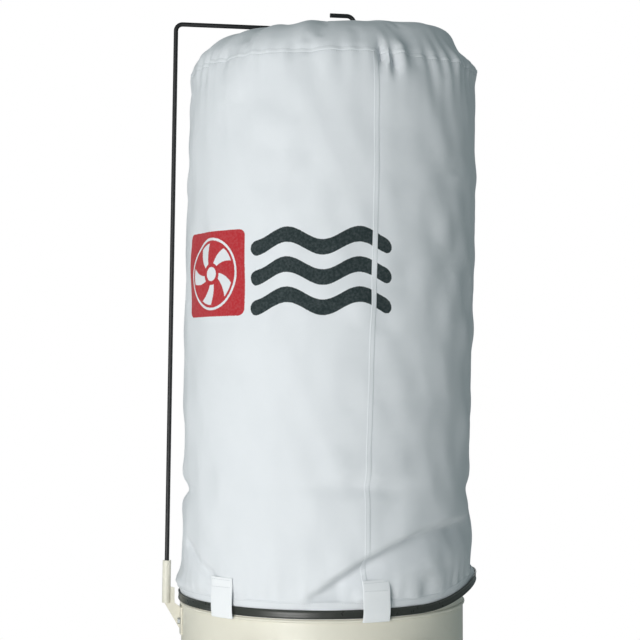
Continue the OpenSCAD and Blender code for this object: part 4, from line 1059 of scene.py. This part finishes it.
def make_lower_bag():
    rz, arc = resampled(lower_outline(), ROW_STEP)
    azimuths = -180 + 360 * np.arange(COLUMNS) / COLUMNS
    target = placed(rz, azimuths, False)
    depths = LOWER_BEAD - rz[:, 1]
    seam = int(round(np.interp(-LOWER_SEAM_R, -rz[:, 0], np.arange(len(rz)))))
    uneven = 0.0015 * ripples(azimuths, depths, 30, (2, 20), 9, 36)
    uneven *= smooth((depths - 0.03) / 0.04)[:, None]
    start = target - outward(target) * uneven[:, :, None]
    pattern = cut_pattern(start, arc, seam, 1.03, arc[-1] - arc[seam])
    held = np.zeros(start.shape[:2], bool)
    held[depths < 0.0215] = True
    settled = capped(settle(start, pattern, held, 8, 0.1, 2), target, 0.009)
    fine = refined(settled)
    fine_azimuths = -180 + 360 * np.arange(fine.shape[1]) / fine.shape[1]
    fine_arc = np.linspace(0, arc[-1], len(fine))
    fine_depths = np.interp(fine_arc, arc, depths)
    folds = lower_folds(fine_azimuths, fine_depths, fine_arc - arc[seam])
    folds *= smooth((arc[-1] - fine_arc) / 0.1)[:, None]
    fine = fine - outward(fine) * folds[:, :, None]
    fine[:, :, 2] = np.maximum(fine[:, :, 2], rz[-1, 1] - 0.001)
    return Skin(fine, fine_arc, fine_depths, -1), arc[seam]


def dress_lower_bag(skin, seam_arc):
    shell(skin, "lower_bag_cloth", LOWER_CLOTH, "lower_bag")
    whole = np.linspace(-180, 180, 361)
    around = whole[:-1]
    low = skin.arc_at(LOWER_BEAD - (LOWER_BAND_Z - BAND_H / 2))
    down = np.linspace(low, seam_arc, 110)
    seams, threads = Parts(), Parts()
    tape(seams, skin, down, np.full_like(down, 95.0), 0.011, 0.0012)
    for off in (-0.75, 0.75):
        stitches(threads, skin, down, np.full_like(down, 95.0 + off), off=0.0015)
    tape(seams, skin, np.full_like(around, seam_arc), around, 0.0075, 0.0014, closed=True)
    stitches(threads, skin, np.full_like(whole, seam_arc - 0.0065), whole)
    tape(seams, skin, np.full_like(around, low + 0.006), around, 0.014, 0.0012, closed=True)
    stitches(threads, skin, np.full_like(whole, low + 0.0105), whole, off=0.0014)
    add_piece("lower_bag_seams", seams.verts, seams.faces, LOWER_CLOTH)
    add_piece("lower_bag_stitching", threads.verts, threads.faces, THREAD, sharp=180)


upper_skin, top_seam = make_upper_bag()
dress_upper_bag(upper_skin, top_seam)
loops_at("upper_belt_loops_webbing", "upper_belt_loops", UPPER_LOOPS, UPPER_BEAD, 1, upper_skin)
clamp_band("upper_band_strap", "upper_clamp_band", UPPER_BAND_Z, UPPER_LATCH, True)
make_hang_loop()
lower_skin, bottom_seam = make_lower_bag()
dress_lower_bag(lower_skin, bottom_seam)
loops_at("lower_belt_loops_webbing", "lower_belt_loops", LOWER_LOOPS, LOWER_BEAD, -1, lower_skin)
clamp_band("lower_band_strap", "lower_clamp_band", LOWER_BAND_Z, LOWER_LATCH, False)
make_hose()


# ---------- stage ----------


def add_floor():
    s = Shader("floor_paint")
    soft = s.noise(0.8, 3.0)
    material = s.finish(Base_Color=s.mix(soft, rgba(0.80, 0.80, 0.79), rgba(0.86, 0.86, 0.85)), Roughness=0.7)
    bm = bmesh.new()
    bmesh.ops.create_circle(bm, cap_ends=True, segments=96, radius=4.2)
    data = bpy.data.meshes.new("floor")
    bm.to_mesh(data)
    bm.free()
    floor = bpy.data.objects.new("floor", data)
    SCENE.collection.objects.link(floor)
    dress(floor, material)


add_floor()
